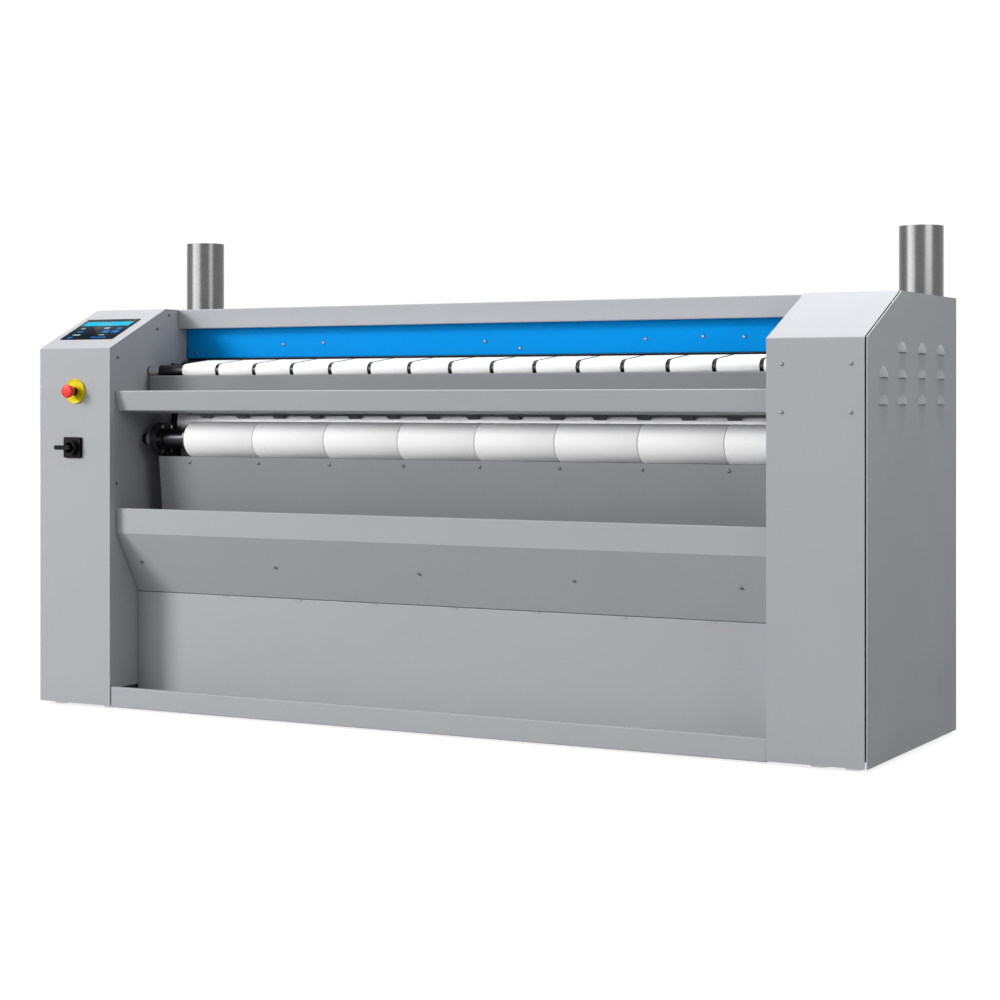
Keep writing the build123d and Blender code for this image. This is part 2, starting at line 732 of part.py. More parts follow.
finger_tip_room = 1  # fingers' tips off the cylinder
finger_tip = (cylinder_axis[0] - cylinder_radius - finger_tip_room, cylinder_axis[1] + 26)
finger_top = finger_bar_low[1] + cross_tube - 2
finger_bend_height = cylinder_axis[1] + 46
finger_front = finger_bar_low[0] - sheet
stripper_inset = 96  # stripper plate's left end, from the left inner wall
stripper_share = 0.65  # of the fingers' slope that the plate behind them covers
stripper_bite = 0.3  # plate's front face goes this far into the fingers
stripper_front = finger_bar_low[0] - stripper_bite
stripper_edge = (stripper_front + stripper_share * (finger_tip[0] - finger_front),
                 finger_bend_height + 1 - stripper_share * (finger_bend_height - finger_tip[1]))
with BuildPart() as stripper_fingers:
    add(folded([at(stripper_front, finger_bar_low[1] - contact_gap), at(stripper_front, finger_bend_height + 1),
                at(*stripper_edge)], left_wall + stripper_inset, middle_right))
    for number in range(finger_count):
        end = first_finger + number * finger_pitch
        add(folded([at(finger_front, finger_top), at(finger_front, finger_bend_height), at(*finger_tip)],
                   end - finger_width, end))
finish(stripper_fingers, "stripper_fingers")

hood_front = 303
hood_bottom = casing_height - 54
hood_hem = 20
rear_hem = 18
rear_top = casing_height - sheet - seam
with BuildPart() as hood_cover:
    add(folded([at(hood_front + hood_hem, hood_bottom), at(hood_front, hood_bottom),
                at(hood_front, casing_height), at(casing_depth, casing_height)],
               middle_left, middle_right, side=Side.RIGHT))
finish(hood_cover, "hood_cover")

with BuildPart() as rear_cover:
    add(folded([at(casing_depth - rear_hem, rear_top), at(casing_depth, rear_top),
                at(casing_depth, casing_bottom)], middle_left, middle_right, side=Side.RIGHT))
    add(screw_holes(back_screw_planes), mode=Mode.SUBTRACT)
finish(rear_cover, "rear_cover")

# ================================================================ finger guard
guard_depth = 342
guard_bottom = casing_height - 137
guard_side_gap = 6
guard_hem = 9
guard_left = left_wall + guard_side_gap
guard_right = right_wall - guard_side_gap
guard_knuckle = 1.5  # wall of the rolled edge round the hinge pin
guard_screw_spots = ((0.018, 16), (0.176, 36), (0.246, 39), (0.513, 36), (0.568, 16), (0.758, 36),
                     (0.841, 40), (0.899, 38))  # share of the way between the inner walls, rise
guard_screw_planes = [
    Plane(origin=(left_wall + share * (right_wall - left_wall), *at(guard_depth, guard_bottom + rise)),
          x_dir=(1, 0, 0), z_dir=(0, -1, 0)) for share, rise in guard_screw_spots]
with BuildPart() as finger_guard:
    add(folded([at(guard_depth + guard_hem, guard_bottom), at(guard_depth, guard_bottom),
                at(guard_depth, hinge_axis[1])], guard_left, guard_right, side=Side.RIGHT))
    add(bar(hinge_at, hinge_pin / 2 + guard_knuckle, guard_left, guard_right))
    add(bar(hinge_at, hinge_pin / 2, left_wall - 3 * sheet, right_wall + 3 * sheet))
    add(screw_holes(guard_screw_planes), mode=Mode.SUBTRACT)
finish(finger_guard, "finger_guard")

with BuildPart() as guard_screws:
    add(screws(guard_screw_planes, short_screw))
finish(guard_screws, "guard_screws")
with BuildPart() as cover_screws:
    add(screws(front_screw_planes + left_wall_planes + right_wall_planes + back_screw_planes))
    add(screws(tray_screw_planes + chute_screw_planes, short_screw))
finish(cover_screws, "cover_screws")

# ================================================================ ironing cylinder
bearing_thickness = 22
small_bearing_thickness = 15
cylinder_flange = 130
roller_flange = 80
cylinder_inset = 60  # from the left inner wall
cylinder_overrun = 8  # beyond the last band
cylinder_left = left_wall + cylinder_inset
cylinder_right = bands_right + cylinder_overrun
journal_left = left_frame - frame_plate - bearing_thickness
sprocket_gap = 8
sprocket_width = 8
sprocket_start = right_frame + frame_plate + bearing_thickness + sprocket_gap
sprocket_overrun = 6
cylinder_journal_end = sprocket_start + sprocket_width + sprocket_overrun
heater_tube = 40
heater_rod = 12
heater_rods = 6
heater_circle = 118
disc_holes = 6
disc_hole = 60

with BuildPart() as cylinder:
    add(bar(cylinder_at, cylinder_radius, cylinder_left, cylinder_right))
    add(bar(cylinder_at, cylinder_radius - cylinder_wall, cylinder_left + cylinder_wall,
            cylinder_right - cylinder_wall), mode=Mode.SUBTRACT)
    add(bar(cylinder_at, cylinder_journal / 2, journal_left, cylinder_left + 1))
    add(bar(cylinder_at, cylinder_journal / 2, cylinder_right - 1, cylinder_journal_end))
    add(bar(cylinder_at, heater_tube / 2 + pin_gap, journal_left - 1, cylinder_journal_end + 1),
        mode=Mode.SUBTRACT)
    with BuildSketch(Plane.YZ.offset(cylinder_left - 1)):
        with Locations(cylinder_at):
            with PolarLocations((cylinder_radius + cylinder_journal / 2) / 2, disc_holes):
                Circle(disc_hole / 2)
    extrude(amount=cylinder_right - cylinder_left + 2, mode=Mode.SUBTRACT)
finish(cylinder, "cylinder")

heater_spider = 10
heater_window = 56  # diameter of the spider's holes
heater_rod_inset = 30
spider_inset = 60
heater_left = journal_left - 34
heater_right = cylinder_right + 20
strap = 6
strap_drop = 90  # foot of the heaters' strap, below the cylinder's axis
with BuildPart() as heating_elements:
    add(bar(cylinder_at, heater_tube / 2, heater_left, heater_right))
    with BuildSketch(Plane.YZ.offset(cylinder_left + heater_rod_inset)):
        with Locations(cylinder_at):
            with PolarLocations(heater_circle, heater_rods):
                Circle(heater_rod / 2)
    extrude(amount=cylinder_right - cylinder_left - 2 * heater_rod_inset)
    for x in (cylinder_left + spider_inset, cylinder_right - spider_inset - heater_spider):
        add(bar(cylinder_at, heater_circle + heater_rod, x, x + heater_spider))
        with BuildSketch(Plane.YZ.offset(x)):
            with Locations(cylinder_at):
                with PolarLocations((heater_circle + heater_tube) / 2, heater_rods, start_angle=30):
                    Circle(heater_window / 2)
        extrude(amount=heater_spider, mode=Mode.SUBTRACT)
    foot = (cylinder_at[0] - heater_tube / 2, cylinder_at[1] - strap_drop)
    add(block(foot, (foot[0] + heater_tube, cylinder_at[1]), heater_left + strap, heater_left + 2 * strap))
    add(block(foot, (foot[0] + heater_tube, foot[1] + strap), heater_left + strap, left_frame - frame_plate))
finish(heating_elements, "heating_elements")

# ================================================================ rollers of the band loop
roller_overrun = (8, 6)  # rollers reach this far beyond the bands, left and right
roller_left = bands_left - roller_overrun[0]
roller_right = bands_right + roller_overrun[1]
small_journal_left = left_frame - frame_plate - small_bearing_thickness
small_journal_right = right_frame + frame_plate + small_bearing_thickness
journal_span = (small_journal_left, small_journal_right)
loop_rollers = {"entry_roller": (entry_roller_at, entry_roller_radius),
                "rear_bottom_roller": (rear_bottom_at, rear_roller_radius),
                "rear_top_roller": (rear_top_at, rear_roller_radius)}
for name, (axis, radius) in loop_rollers.items():
    loop_roller = roller(axis, radius, roller_wall, (roller_left, roller_right), journal_span,
                         journal_diameter / 2)
    finish(loop_roller, name)

housing_inset = 38
housing_left = left_wall + housing_inset
housing_length = 40
housing_right = housing_left + housing_length
housing_diameter = 90
hub_diameter = 64  # housing's narrower hub, on both sides of its flange
hub_rise = 8
collar_diameter = 36
collar_inset = 8
collar_left = left_wall + collar_inset
front_journal_left = left_wall - 3 * sheet
with BuildPart() as front_roller:
    add(roller(front_roller_at, front_roller_radius, roller_wall, (roller_left, roller_right),
               (front_journal_left, small_journal_right), journal_diameter / 2).part)
    add(bar(front_roller_at, neck_diameter / 2, housing_right + 1, roller_left + 1))
    add(bar(front_roller_at, collar_diameter / 2, collar_left, housing_left - 0.5))
finish(front_roller, "front_roller")

housing_bolts = 6
bolt_circle = 38
bolt_shank = 6
bolt_head = 10
bolt_head_height = 4
arm_plate = 8
arm_left = housing_left + 9
arm_rear = 285
arm_rear_width = 25  # arm's top edge, in front of its foot
arm_foot = 8
arm_drop = 60  # arm's lower edge, below the front roller's axis
arm_rise = 30
arm_heights = (front_roller_axis[1] - arm_drop, front_roller_axis[1] + arm_rise)
bore_fit = 0.5
bolt_seat = housing_right - hub_rise
with BuildPart() as roller_housing:
    add(bar(front_roller_at, housing_diameter / 2, arm_left + arm_plate, bolt_seat))
    add(bar(front_roller_at, hub_diameter / 2, housing_left, housing_right))
    add(bar(front_roller_at, journal_diameter / 2 + shaft_fit, housing_left - 1, housing_right + 1),
        mode=Mode.SUBTRACT)
    with BuildSketch(Plane.YZ.offset(housing_left - 1)):
        with Locations(front_roller_at):
            with PolarLocations(bolt_circle, housing_bolts):
                Circle(bolt_shank / 2 + pin_gap)
    extrude(amount=housing_length + 2, mode=Mode.SUBTRACT)
finish(roller_housing, "roller_housing")

with BuildPart() as roller_arm:
    with BuildSketch(Plane.YZ.offset(arm_left)):
        with Locations(front_roller_at):
            Circle(housing_diameter / 2)
        with BuildLine():
            Polyline(at(front_roller_axis[0], front_roller_axis[1] - housing_diameter / 2 + 1),
                     at(front_roller_axis[0] + arm_rise, arm_heights[0]), at(arm_rear, arm_heights[0]),
                     at(arm_rear, arm_heights[1]), at(arm_rear - arm_rear_width, arm_heights[1]),
                     at(front_roller_axis[0], front_roller_axis[1] + housing_diameter / 2 - 1), close=True)
        make_face()
        with Locations(front_roller_at):
            Circle(hub_diameter / 2 + bore_fit, mode=Mode.SUBTRACT)
            with PolarLocations(bolt_circle, housing_bolts):
                Circle(bolt_shank / 2 + pin_gap, mode=Mode.SUBTRACT)
    extrude(amount=arm_plate)
    add(block(at(arm_rear - arm_foot, arm_heights[0]), at(arm_rear, arm_heights[1]),
              left_frame, arm_left + 1))
finish(roller_arm, "roller_arm")

with BuildPart() as housing_bolt_set:
    with BuildSketch(Plane.YZ.offset(bolt_seat)):
        with Locations(front_roller_at):
            with PolarLocations(bolt_circle, housing_bolts):
                RegularPolygon(bolt_head / 2, 6)
    extrude(amount=bolt_head_height)
    with BuildSketch(Plane.YZ.offset(arm_left)):
        with Locations(front_roller_at):
            with PolarLocations(bolt_circle, housing_bolts):
                Circle(bolt_shank / 2)
    extrude(amount=bolt_seat - arm_left)
finish(housing_bolt_set, "housing_bolts")

feed_roller_inset = 41
feed_roller_overrun = 4
feed_roller_left = left_wall + feed_roller_inset
feed_roller_right = feed_bands_left + feed_band_count * feed_band_pitch + feed_roller_overrun
for name, axis in (("front_feed_roller", front_feed_at), ("rear_feed_roller", rear_feed_at)):
    with BuildPart() as feed_roller:
        add(bar(axis, feed_roller_radius, feed_roller_left, feed_roller_right))
        add(bar(axis, feed_journal / 2, small_journal_left, small_journal_right))
    finish(feed_roller, name)

with BuildPart() as flange_bearings:
    for face, outward in ((left_frame - frame_plate, -1), (right_frame + frame_plate, 1)):
        add(flange_bearing(cylinder_at, cylinder_journal, cylinder_flange, face, bearing_thickness, outward))
        for axis in (entry_roller_at, rear_bottom_at, rear_top_at):
            add(flange_bearing(axis, journal_diameter, roller_flange, face, small_bearing_thickness, outward))
        for axis in feed_axes:
            add(flange_bearing(axis, feed_journal, roller_flange, face, small_bearing_thickness, outward))
    add(flange_bearing(front_roller_at, journal_diameter, roller_flange, right_frame + frame_plate,
                       small_bearing_thickness, 1))
finish(flange_bearings, "flange_bearings")

# ================================================================ bands
loop = [(front_roller_at, front_roller_radius + running_gap, 1),
        (rear_bottom_at, rear_roller_radius + running_gap, 1),
        (rear_top_at, rear_roller_radius + running_gap, 1),
        (entry_roller_at, entry_roller_radius + running_gap, 1),
        (cylinder_at, cylinder_radius + running_gap, -1)]
feed_loop = [(front_feed_at, feed_roller_radius + running_gap, 1),
             (rear_feed_at, feed_roller_radius + running_gap, 1)]

with BuildPart() as ironing_bands:
    for number in range(band_count):
        start = bands_left + number * band_pitch
        add(belt(loop, band_thickness, start, start + band_pitch - band_gap))
finish(ironing_bands, "ironing_bands")

with BuildPart() as feed_bands:
    for number in range(feed_band_count):
        start = feed_bands_left + number * feed_band_pitch
        add(belt(feed_loop, feed_band_thickness, start, start + feed_band_pitch - feed_band_gap))
finish(feed_bands, "feed_bands")

# ================================================================ drive
chain_pitch = 12.7
motor_teeth = 15
cylinder_teeth = 60
chain_roller = 8.5
tooth_rise = 3
chain_thickness = 8
gearbox = (84, 130, 150)
gearbox_right = right_frame
shaft_depth = 50  # motor shaft's length inside the gearbox
motor_diameter = 84
motor_length = 190
motor_rise = 20  # motor's axis above the gearbox's shaft
gearbox_corner = 12
cylinder_hub = 90
motor_hub = 40


def pitch_radius(teeth):
    """Radius through the centres of the chain's rollers on a sprocket."""
    return chain_pitch / (2 * math.sin(math.pi / teeth))


def sprocket(axis, teeth, bore, hub):
    """Chain sprocket with its hub toward the frame."""
    with BuildPart() as piece:
        with BuildSketch(Plane.YZ.offset(sprocket_start)):
            with Locations(axis):
                Circle(pitch_radius(teeth) + tooth_rise)
                with PolarLocations(pitch_radius(teeth), teeth):
                    Circle(chain_roller / 2, mode=Mode.SUBTRACT)
        extrude(amount=sprocket_width)
        add(bar(axis, hub / 2, sprocket_start - sprocket_gap + 2, sprocket_start + sprocket_width))
        add(bar(axis, bore / 2, sprocket_start - sprocket_gap, sprocket_start + 2 * sprocket_width),
            mode=Mode.SUBTRACT)
    return piece


finish(sprocket(cylinder_at, cylinder_teeth, cylinder_journal, cylinder_hub), "cylinder_sprocket")

with BuildPart() as motor_sprocket:
    add(sprocket(motor_at, motor_teeth, motor_shaft, motor_hub).part)
    add(bar(motor_at, motor_shaft / 2, gearbox_right - shaft_depth, sprocket_start + sprocket_width))
finish(motor_sprocket, "motor_sprocket")

with BuildPart() as drive_chain:
    wheels = [(point, pitch_radius(teeth) + tooth_rise + running_gap, 1)
              for point, teeth in ((motor_at, motor_teeth), (cylinder_at, cylinder_teeth))]
    add(belt(wheels, chain_thickness, sprocket_start, sprocket_start + sprocket_width))
finish(drive_chain, "drive_chain")

with BuildPart() as gearmotor:
    add(block((motor_at[0] - gearbox[1] / 2, motor_at[1] - gearbox[2] / 2),
              (motor_at[0] + gearbox[1] / 2, motor_at[1] + gearbox[2] / 2), gearbox_right - gearbox[0],
              gearbox_right))
    fillet(gearmotor.edges().filter_by(Axis.X), radius=gearbox_corner)
    with BuildSketch(Plane.XZ.offset(-(motor_at[0] + gearbox[1] / 2 - 1))):
        with Locations((gearbox_right - gearbox[0] / 2, motor_at[1] + motor_rise)):
            Circle(motor_diameter / 2)
    extrude(amount=-motor_length)
    add(bar(motor_at, motor_shaft / 2 + shaft_fit, gearbox_right - shaft_depth - 1, gearbox_right + 1),
        mode=Mode.SUBTRACT)
finish(gearmotor, "gearmotor")

# ================================================================ exhaust
fan_axis = (casing_depth - 105, casing_height - 212)
fan_radius = 84
fan_width = 84
fan_sheet = 2
fan_inlet = 45
outlet_top = casing_height - 92
collar_height = 24
impeller_radius = 66
impeller_width = 52
impeller_blades = 16
blade = (18, 1.5)  # length and thickness of an impeller's blade
blade_turn = 35
blade_inset = 10  # blades' middle circle, inside the impeller's edge
impeller_ring = 14
plate_room = 3  # between the motor's hub and the impeller's plate
collar_flange = 4
hub_radius = 32
hub_length = 40
fan_shaft = 8
left_pipe_top = casing_height + 208
right_pipe_top = casing_height + 183
fan_at = at(*fan_axis)
pipe_inner = pipe_diameter / 2 - pipe_wall


def fan_housing(x):
    """Fan scroll centred on x, with a square outlet that becomes a collar inside the exhaust pipe."""
    start = x - fan_width / 2
    outlet = front + pipe_depth
    with BuildPart() as piece:
        add(bar(fan_at, fan_radius, start, start + fan_width))
        add(block((outlet - fan_width / 2, fan_axis[1]), (outlet + fan_width / 2, outlet_top),
                  start, start + fan_width))
        with BuildSketch(Plane.XY.offset(outlet_top)):
            with Locations((x, outlet)):
                Circle(pipe_inner - pin_gap)
        extrude(amount=collar_height)
        with BuildSketch(Plane.XY.offset(outlet_top - fan_sheet)):
            with Locations((x, outlet)):
                Circle(pipe_diameter / 2 + collar_flange)
        extrude(amount=fan_sheet)
        add(bar(fan_at, fan_radius - fan_sheet, start + fan_sheet, start + fan_width - fan_sheet),
            mode=Mode.SUBTRACT)
        add(block((outlet - fan_width / 2 + fan_sheet, fan_axis[1]),
                  (outlet + fan_width / 2 - fan_sheet, outlet_top - fan_sheet),
                  start + fan_sheet, start + fan_width - fan_sheet), mode=Mode.SUBTRACT)
        with BuildSketch(Plane.XY.offset(outlet_top - 2 * fan_sheet)):
            with Locations((x, outlet)):
                Circle(fan_width / 2 - 2 * fan_sheet)
        extrude(amount=collar_height + 3 * fan_sheet, mode=Mode.SUBTRACT)
        inward = 1 if x < 0 else -1
        inlet = x + inward * fan_width / 2
        add(bar(fan_at, fan_inlet, inlet - 2 * fan_sheet, inlet + 2 * fan_sheet), mode=Mode.SUBTRACT)
    return piece


def fan_motor(x):
    """Fan motor's fixed hub, on the scroll's closed side."""
    inward = 1 if x < 0 else -1
    wall = x - inward * (fan_width / 2 - fan_sheet)
    ends = sorted((wall, wall + inward * hub_length))
    with BuildPart() as piece:
        add(bar(fan_at, hub_radius, *ends))
        add(bar(fan_at, fan_shaft / 2 + shaft_fit, ends[0] - 1, ends[1] + 1), mode=Mode.SUBTRACT)
    return piece


def impeller(x):
    """Impeller: back plate on the shaft, blades round the motor hub and a front ring."""
    inward = 1 if x < 0 else -1
    plate = x - inward * (fan_width / 2 - fan_sheet) + inward * (hub_length + plate_room)
    plate_ends = sorted((plate, plate + inward * fan_sheet))
    blade_end = plate - inward * (hub_length - 4)
    blade_ends = sorted((plate, blade_end))
    ring_ends = sorted((blade_end, blade_end + inward * 3))
    shaft_ends = sorted((plate, plate - inward * hub_length))
    with BuildPart() as piece:
        add(bar(fan_at, impeller_radius, *plate_ends))
        add(bar(fan_at, fan_shaft / 2, *shaft_ends))
        with BuildSketch(Plane.YZ.offset(blade_ends[0])):
            with Locations(fan_at):
                with PolarLocations(impeller_radius - blade_inset, impeller_blades):
                    Rectangle(*blade, rotation=blade_turn)
        extrude(amount=blade_ends[1] - blade_ends[0])
        with BuildSketch(Plane.YZ.offset(ring_ends[0])):
            with Locations(fan_at):
                Circle(impeller_radius)
                Circle(impeller_radius - impeller_ring, mode=Mode.SUBTRACT)
        extrude(amount=ring_ends[1] - ring_ends[0])
    return piece


def exhaust_pipe(x, top):
    """Exhaust pipe from the fan's outlet through the casing's top."""
    with BuildPart() as piece:
        with BuildSketch(Plane.XY.offset(outlet_top)):
            with Locations((x, front + pipe_depth)):
                Circle(pipe_diameter / 2)
                Circle(pipe_inner, mode=Mode.SUBTRACT)
        extrude(amount=top - outlet_top)
    return piece


for side, x, top in (("left", left_pipe_x, left_pipe_top), ("right", right_pipe_x, right_pipe_top)):
    finish(impeller(x), f"{side}_impeller")
    finish(exhaust_pipe(x, top), f"{side}_exhaust_pipe")
with BuildPart() as fan_housings:
    for x in (left_pipe_x, right_pipe_x):
        add(fan_housing(x).part)
finish(fan_housings, "fan_housings")
with BuildPart() as fan_motors:
    for x in (left_pipe_x, right_pipe_x):
        add(fan_motor(x).part)
finish(fan_motors, "fan_motors")

# ================================================================ controls
collar_diameter_front = 67
collar_thickness = 5
estop_block = (36, 36, 44)
barrel_reach = 13
plunger_diameter = 12
plunger_depth = 12  # plunger's end behind the casing's face
bore_depth = 25  # body's bore behind the sheet
head_wall = 6  # head's thickness over the stem
head_edges = (7, 2)  # fillets of the head's front and back edge
head_diameter = 39
head_length = 20

with BuildPart() as touch_screen:
    with BuildSketch(screen_plane.offset(contact_gap)):
        RectangleRounded(screen_width, screen_length, screen_corner)
    extrude(amount=screen_glass)
    with BuildSketch(screen_plane.offset(contact_gap)):
        Rectangle(*screen_body[:2])
    extrude(amount=-screen_body[2])
finish(touch_screen, "touch_screen")

with BuildPart() as estop_collar:
    with BuildSketch(estop_plane):
        Circle(collar_diameter_front / 2)
        Circle(estop_barrel / 2 + pin_gap, mode=Mode.SUBTRACT)
    extrude(amount=collar_thickness)
finish(estop_collar, "estop_collar")

with BuildPart() as estop_body:
    with BuildSketch(estop_plane.offset(-sheet - 1)):
        Rectangle(*estop_block[:2])
    extrude(amount=-estop_block[2])
    with BuildSketch(estop_plane.offset(-sheet - 1)):
        Circle(estop_barrel / 2)
    extrude(amount=barrel_reach + sheet + 1)
    with BuildSketch(estop_plane.offset(barrel_reach)):
        Circle(plunger_diameter / 2 + shaft_fit)
    extrude(amount=-(barrel_reach + sheet + bore_depth), mode=Mode.SUBTRACT)
finish(estop_body, "estop_body")

stem_diameter = 7
with BuildPart() as estop_plunger:
    with BuildSketch(estop_plane.offset(-plunger_depth)):
        Circle(plunger_diameter / 2)
    extrude(amount=plunger_depth + barrel_reach + 3)
    with BuildSketch(estop_plane.offset(barrel_reach + 2)):
        Circle(stem_diameter / 2)
    extrude(amount=knob_reach - head_wall - barrel_reach - 2)
finish(estop_plunger, "estop_plunger")

with BuildPart() as estop_head:
    with BuildSketch(estop_plane.offset(knob_reach - head_length)):
        Circle(head_diameter / 2)
    extrude(amount=head_length)
    fillet(estop_head.edges().group_by(Axis.Y)[0], radius=head_edges[0])
    fillet(estop_head.edges().group_by(Axis.Y)[-1], radius=head_edges[1])
    with BuildSketch(estop_plane.offset(knob_reach - head_length)):
        Circle(stem_diameter / 2 + shaft_fit)
    extrude(amount=head_length - head_wall + shaft_fit, mode=Mode.SUBTRACT)
finish(estop_head, "estop_head")

switch_plate = (60, 56, 6)
switch_block = (46, 46, 62)
knob_diameter = 40
knob_disc = 14
lever_length = 42
lever_width = 12
lever_height = 12
lever_corner = 5
lever_tail = 10  # lever's length beyond the knob's middle, and what it is lengthened by
plate_corner = 4
switch_bore = 20  # stem's bore behind the sheet
knob_gap = 0.5

with BuildPart() as main_switch:
    with BuildSketch(switch_plane):
        RectangleRounded(*switch_plate[:2], plate_corner)
    extrude(amount=switch_plate[2])
    with BuildSketch(switch_plane.offset(-sheet - 1)):
        Rectangle(*switch_block[:2])
    extrude(amount=-switch_block[2])
    with BuildSketch(switch_plane.offset(-sheet - 1)):
        Circle(switch_stem / 2 + switch_bush - switch_room)
    extrude(amount=sheet + 1)
    with BuildSketch(switch_plane.offset(switch_plate[2])):
        Circle(switch_stem / 2 + shaft_fit)
    extrude(amount=-(switch_plate[2] + sheet + switch_bore), mode=Mode.SUBTRACT)
finish(main_switch, "main_switch")

with BuildPart() as main_switch_knob:
    with BuildSketch(switch_plane.offset(switch_plate[2] + knob_gap)):
        Circle(knob_diameter / 2)
    extrude(amount=knob_disc)
    with BuildSketch(switch_plane.offset(switch_plate[2] + knob_disc)):
        with Locations(((lever_tail - lever_length) / 2, 0)):
            RectangleRounded(lever_length + lever_tail, lever_width, lever_corner)
    extrude(amount=lever_height)
    with BuildSketch(switch_plane.offset(switch_plate[2] + 1)):
        Circle(switch_stem / 2)
    extrude(amount=-(switch_plate[2] + sheet + switch_bore - 4))
finish(main_switch_knob, "main_switch_knob")

box_depths = (300, 500)
box_heights = (300, 620)
box_inset = 30
box_left = left + box_inset
box_width = 130
box_sheet = 2
lid_left = box_left + box_width + contact_gap
with BuildPart() as control_box:
    add(block(at(box_depths[0], box_heights[0]), at(box_depths[1], box_heights[1]),
              box_left, box_left + box_width))
    add(block(at(box_depths[0] + box_sheet, box_heights[0] + box_sheet),
              at(box_depths[1] - box_sheet, box_heights[1] - box_sheet),
              box_left + box_sheet, box_left + box_width + 1), mode=Mode.SUBTRACT)
finish(control_box, "control_box")

with BuildPart() as control_box_lid:
    add(block(at(box_depths[0], box_heights[0]), at(box_depths[1], box_heights[1]),
              lid_left, lid_left + box_sheet))
finish(control_box_lid, "control_box_lid")

gland_nut = (17, 7)  # radius over the corners, thickness
gland_cap_radius = 13
gland_thread = 14  # thread's length behind the back's face
cable_radius = 7
with BuildPart() as cable_gland:
    with BuildSketch(Plane.XZ.offset(-(back + contact_gap))):
        with Locations((gland_x, gland_height)):
            RegularPolygon(gland_nut[0], 6)
    extrude(amount=-gland_nut[1])
    with BuildSketch(Plane.XZ.offset(-(back + gland_nut[1] - 2))):
        with Locations((gland_x, gland_height)):
            Circle(gland_cap_radius)
    extrude(amount=-(gland_reach - gland_nut[1] + 2))
    with BuildSketch(Plane.XZ.offset(-(back - gland_thread))):
        with Locations((gland_x, gland_height)):
            Circle(gland_hole / 2 - pin_gap)
    extrude(amount=-(gland_thread + 2))
    with BuildSketch(Plane.XZ.offset(-(back - gland_thread - 2))):
        with Locations((gland_x, gland_height)):
            Circle(cable_radius)
    extrude(amount=-(gland_reach + gland_thread + 6), mode=Mode.SUBTRACT)
finish(cable_gland, "cable_gland")
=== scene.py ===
"""Flatwork ironer: finishes, detailed pieces, floor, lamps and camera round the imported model.

Everything is in metres in the model's own frame: +X to the right of someone in front of the machine,
the front towards -Y, the floor at height 0.
"""
import json
import logging
import math
from contextlib import contextmanager
from dataclasses import dataclass
from enum import Enum
from typing import Callable, Iterable, Iterator, Sequence

import bmesh
import bpy
from mathutils import Matrix, Vector


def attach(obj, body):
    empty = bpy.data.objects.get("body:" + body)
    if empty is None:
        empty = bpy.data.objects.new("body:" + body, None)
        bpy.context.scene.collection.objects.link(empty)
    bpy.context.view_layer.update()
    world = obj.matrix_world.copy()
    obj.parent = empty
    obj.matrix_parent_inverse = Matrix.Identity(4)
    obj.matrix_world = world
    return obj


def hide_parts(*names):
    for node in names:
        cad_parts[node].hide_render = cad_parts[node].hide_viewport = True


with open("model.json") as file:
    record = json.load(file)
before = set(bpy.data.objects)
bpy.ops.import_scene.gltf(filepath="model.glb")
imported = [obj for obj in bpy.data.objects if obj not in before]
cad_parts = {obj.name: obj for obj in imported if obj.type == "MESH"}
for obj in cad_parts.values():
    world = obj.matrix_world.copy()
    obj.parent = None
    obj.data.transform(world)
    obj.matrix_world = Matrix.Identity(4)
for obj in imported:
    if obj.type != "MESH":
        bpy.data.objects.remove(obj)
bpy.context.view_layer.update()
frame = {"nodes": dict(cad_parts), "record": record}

logging.basicConfig(level=logging.INFO, format="%(message)s")
log = logging.getLogger("ironer")

Piece = bpy.types.Object
Socket = bpy.types.NodeSocket
Material = bpy.types.Material

FRONT = -0.331  # y of the columns' front
BACK = 0.349
LEFT = -1.190
RIGHT = 1.190
LEFT_WALL = -0.948
RIGHT_WALL = 0.948
RUNNING_GAP = 0.0004  # bands stand this far off their rollers
FEED_BAND_START = -0.825
FEED_BAND_WIDTH = 0.1127


class Slot(str, Enum):
    """Material slots of the record."""

    CASING = "casing_metal"
    FRAME = "frame_paint"
    ZINC = "zinc_steel"
    POLISHED = "polished_steel"
    DARK_STEEL = "dark_steel"
    BLACK_PAINT = "black_paint"
    CAST_IRON = "cast_iron"
    CAST_ALUMINIUM = "cast_aluminium"
    BAND = "band_fabric"
    BLUE = "blue_paint"
    SCREEN = "screen_glass"
    YELLOW = "yellow_plastic"
    RED = "red_plastic"
    BLACK = "black_plastic"


class Way(str, Enum):
    """Direction of a metal's grain or of a round piece's axis."""

    X = "X"
    Y = "Y"
    Z = "Z"


class Towards(Enum):
    """Direction that a face looks in."""

    UP = (0, 0, 1)
    DOWN = (0, 0, -1)
    FRONT = (0, -1, 0)
    BACK = (0, 1, 0)
    LEFT = (-1, 0, 0)
    RIGHT = (1, 0, 0)


class Axis(Enum):
    """Axis of a roller in the side view: depth behind the columns' front, and height."""

    FRONT_ROLLER = (0.157, 0.730)
    REAR_BOTTOM_ROLLER = (0.562, 0.505)
    REAR_TOP_ROLLER = (0.590, 0.985)
    ENTRY_ROLLER = (0.415, 0.965421)
    CYLINDER = (0.385, 0.760)
    FRONT_FEED = (0.176, 0.917)
    REAR_FEED = (0.280, 0.929)


def side(depth: float, height: float) -> tuple[float, float]:
    """Return the (y, z) of a side-view point given as depth behind the columns' front and height."""
    return (FRONT + depth, height)


# ------------------------------------------------------------------ modelling moves


def select_only(*pieces: Piece) -> None:
    """Select just these objects and make the first one active."""
    bpy.ops.object.select_all(action="DESELECT")
    for piece in pieces:
        piece.select_set(True)
    bpy.context.view_layer.objects.active = pieces[0]


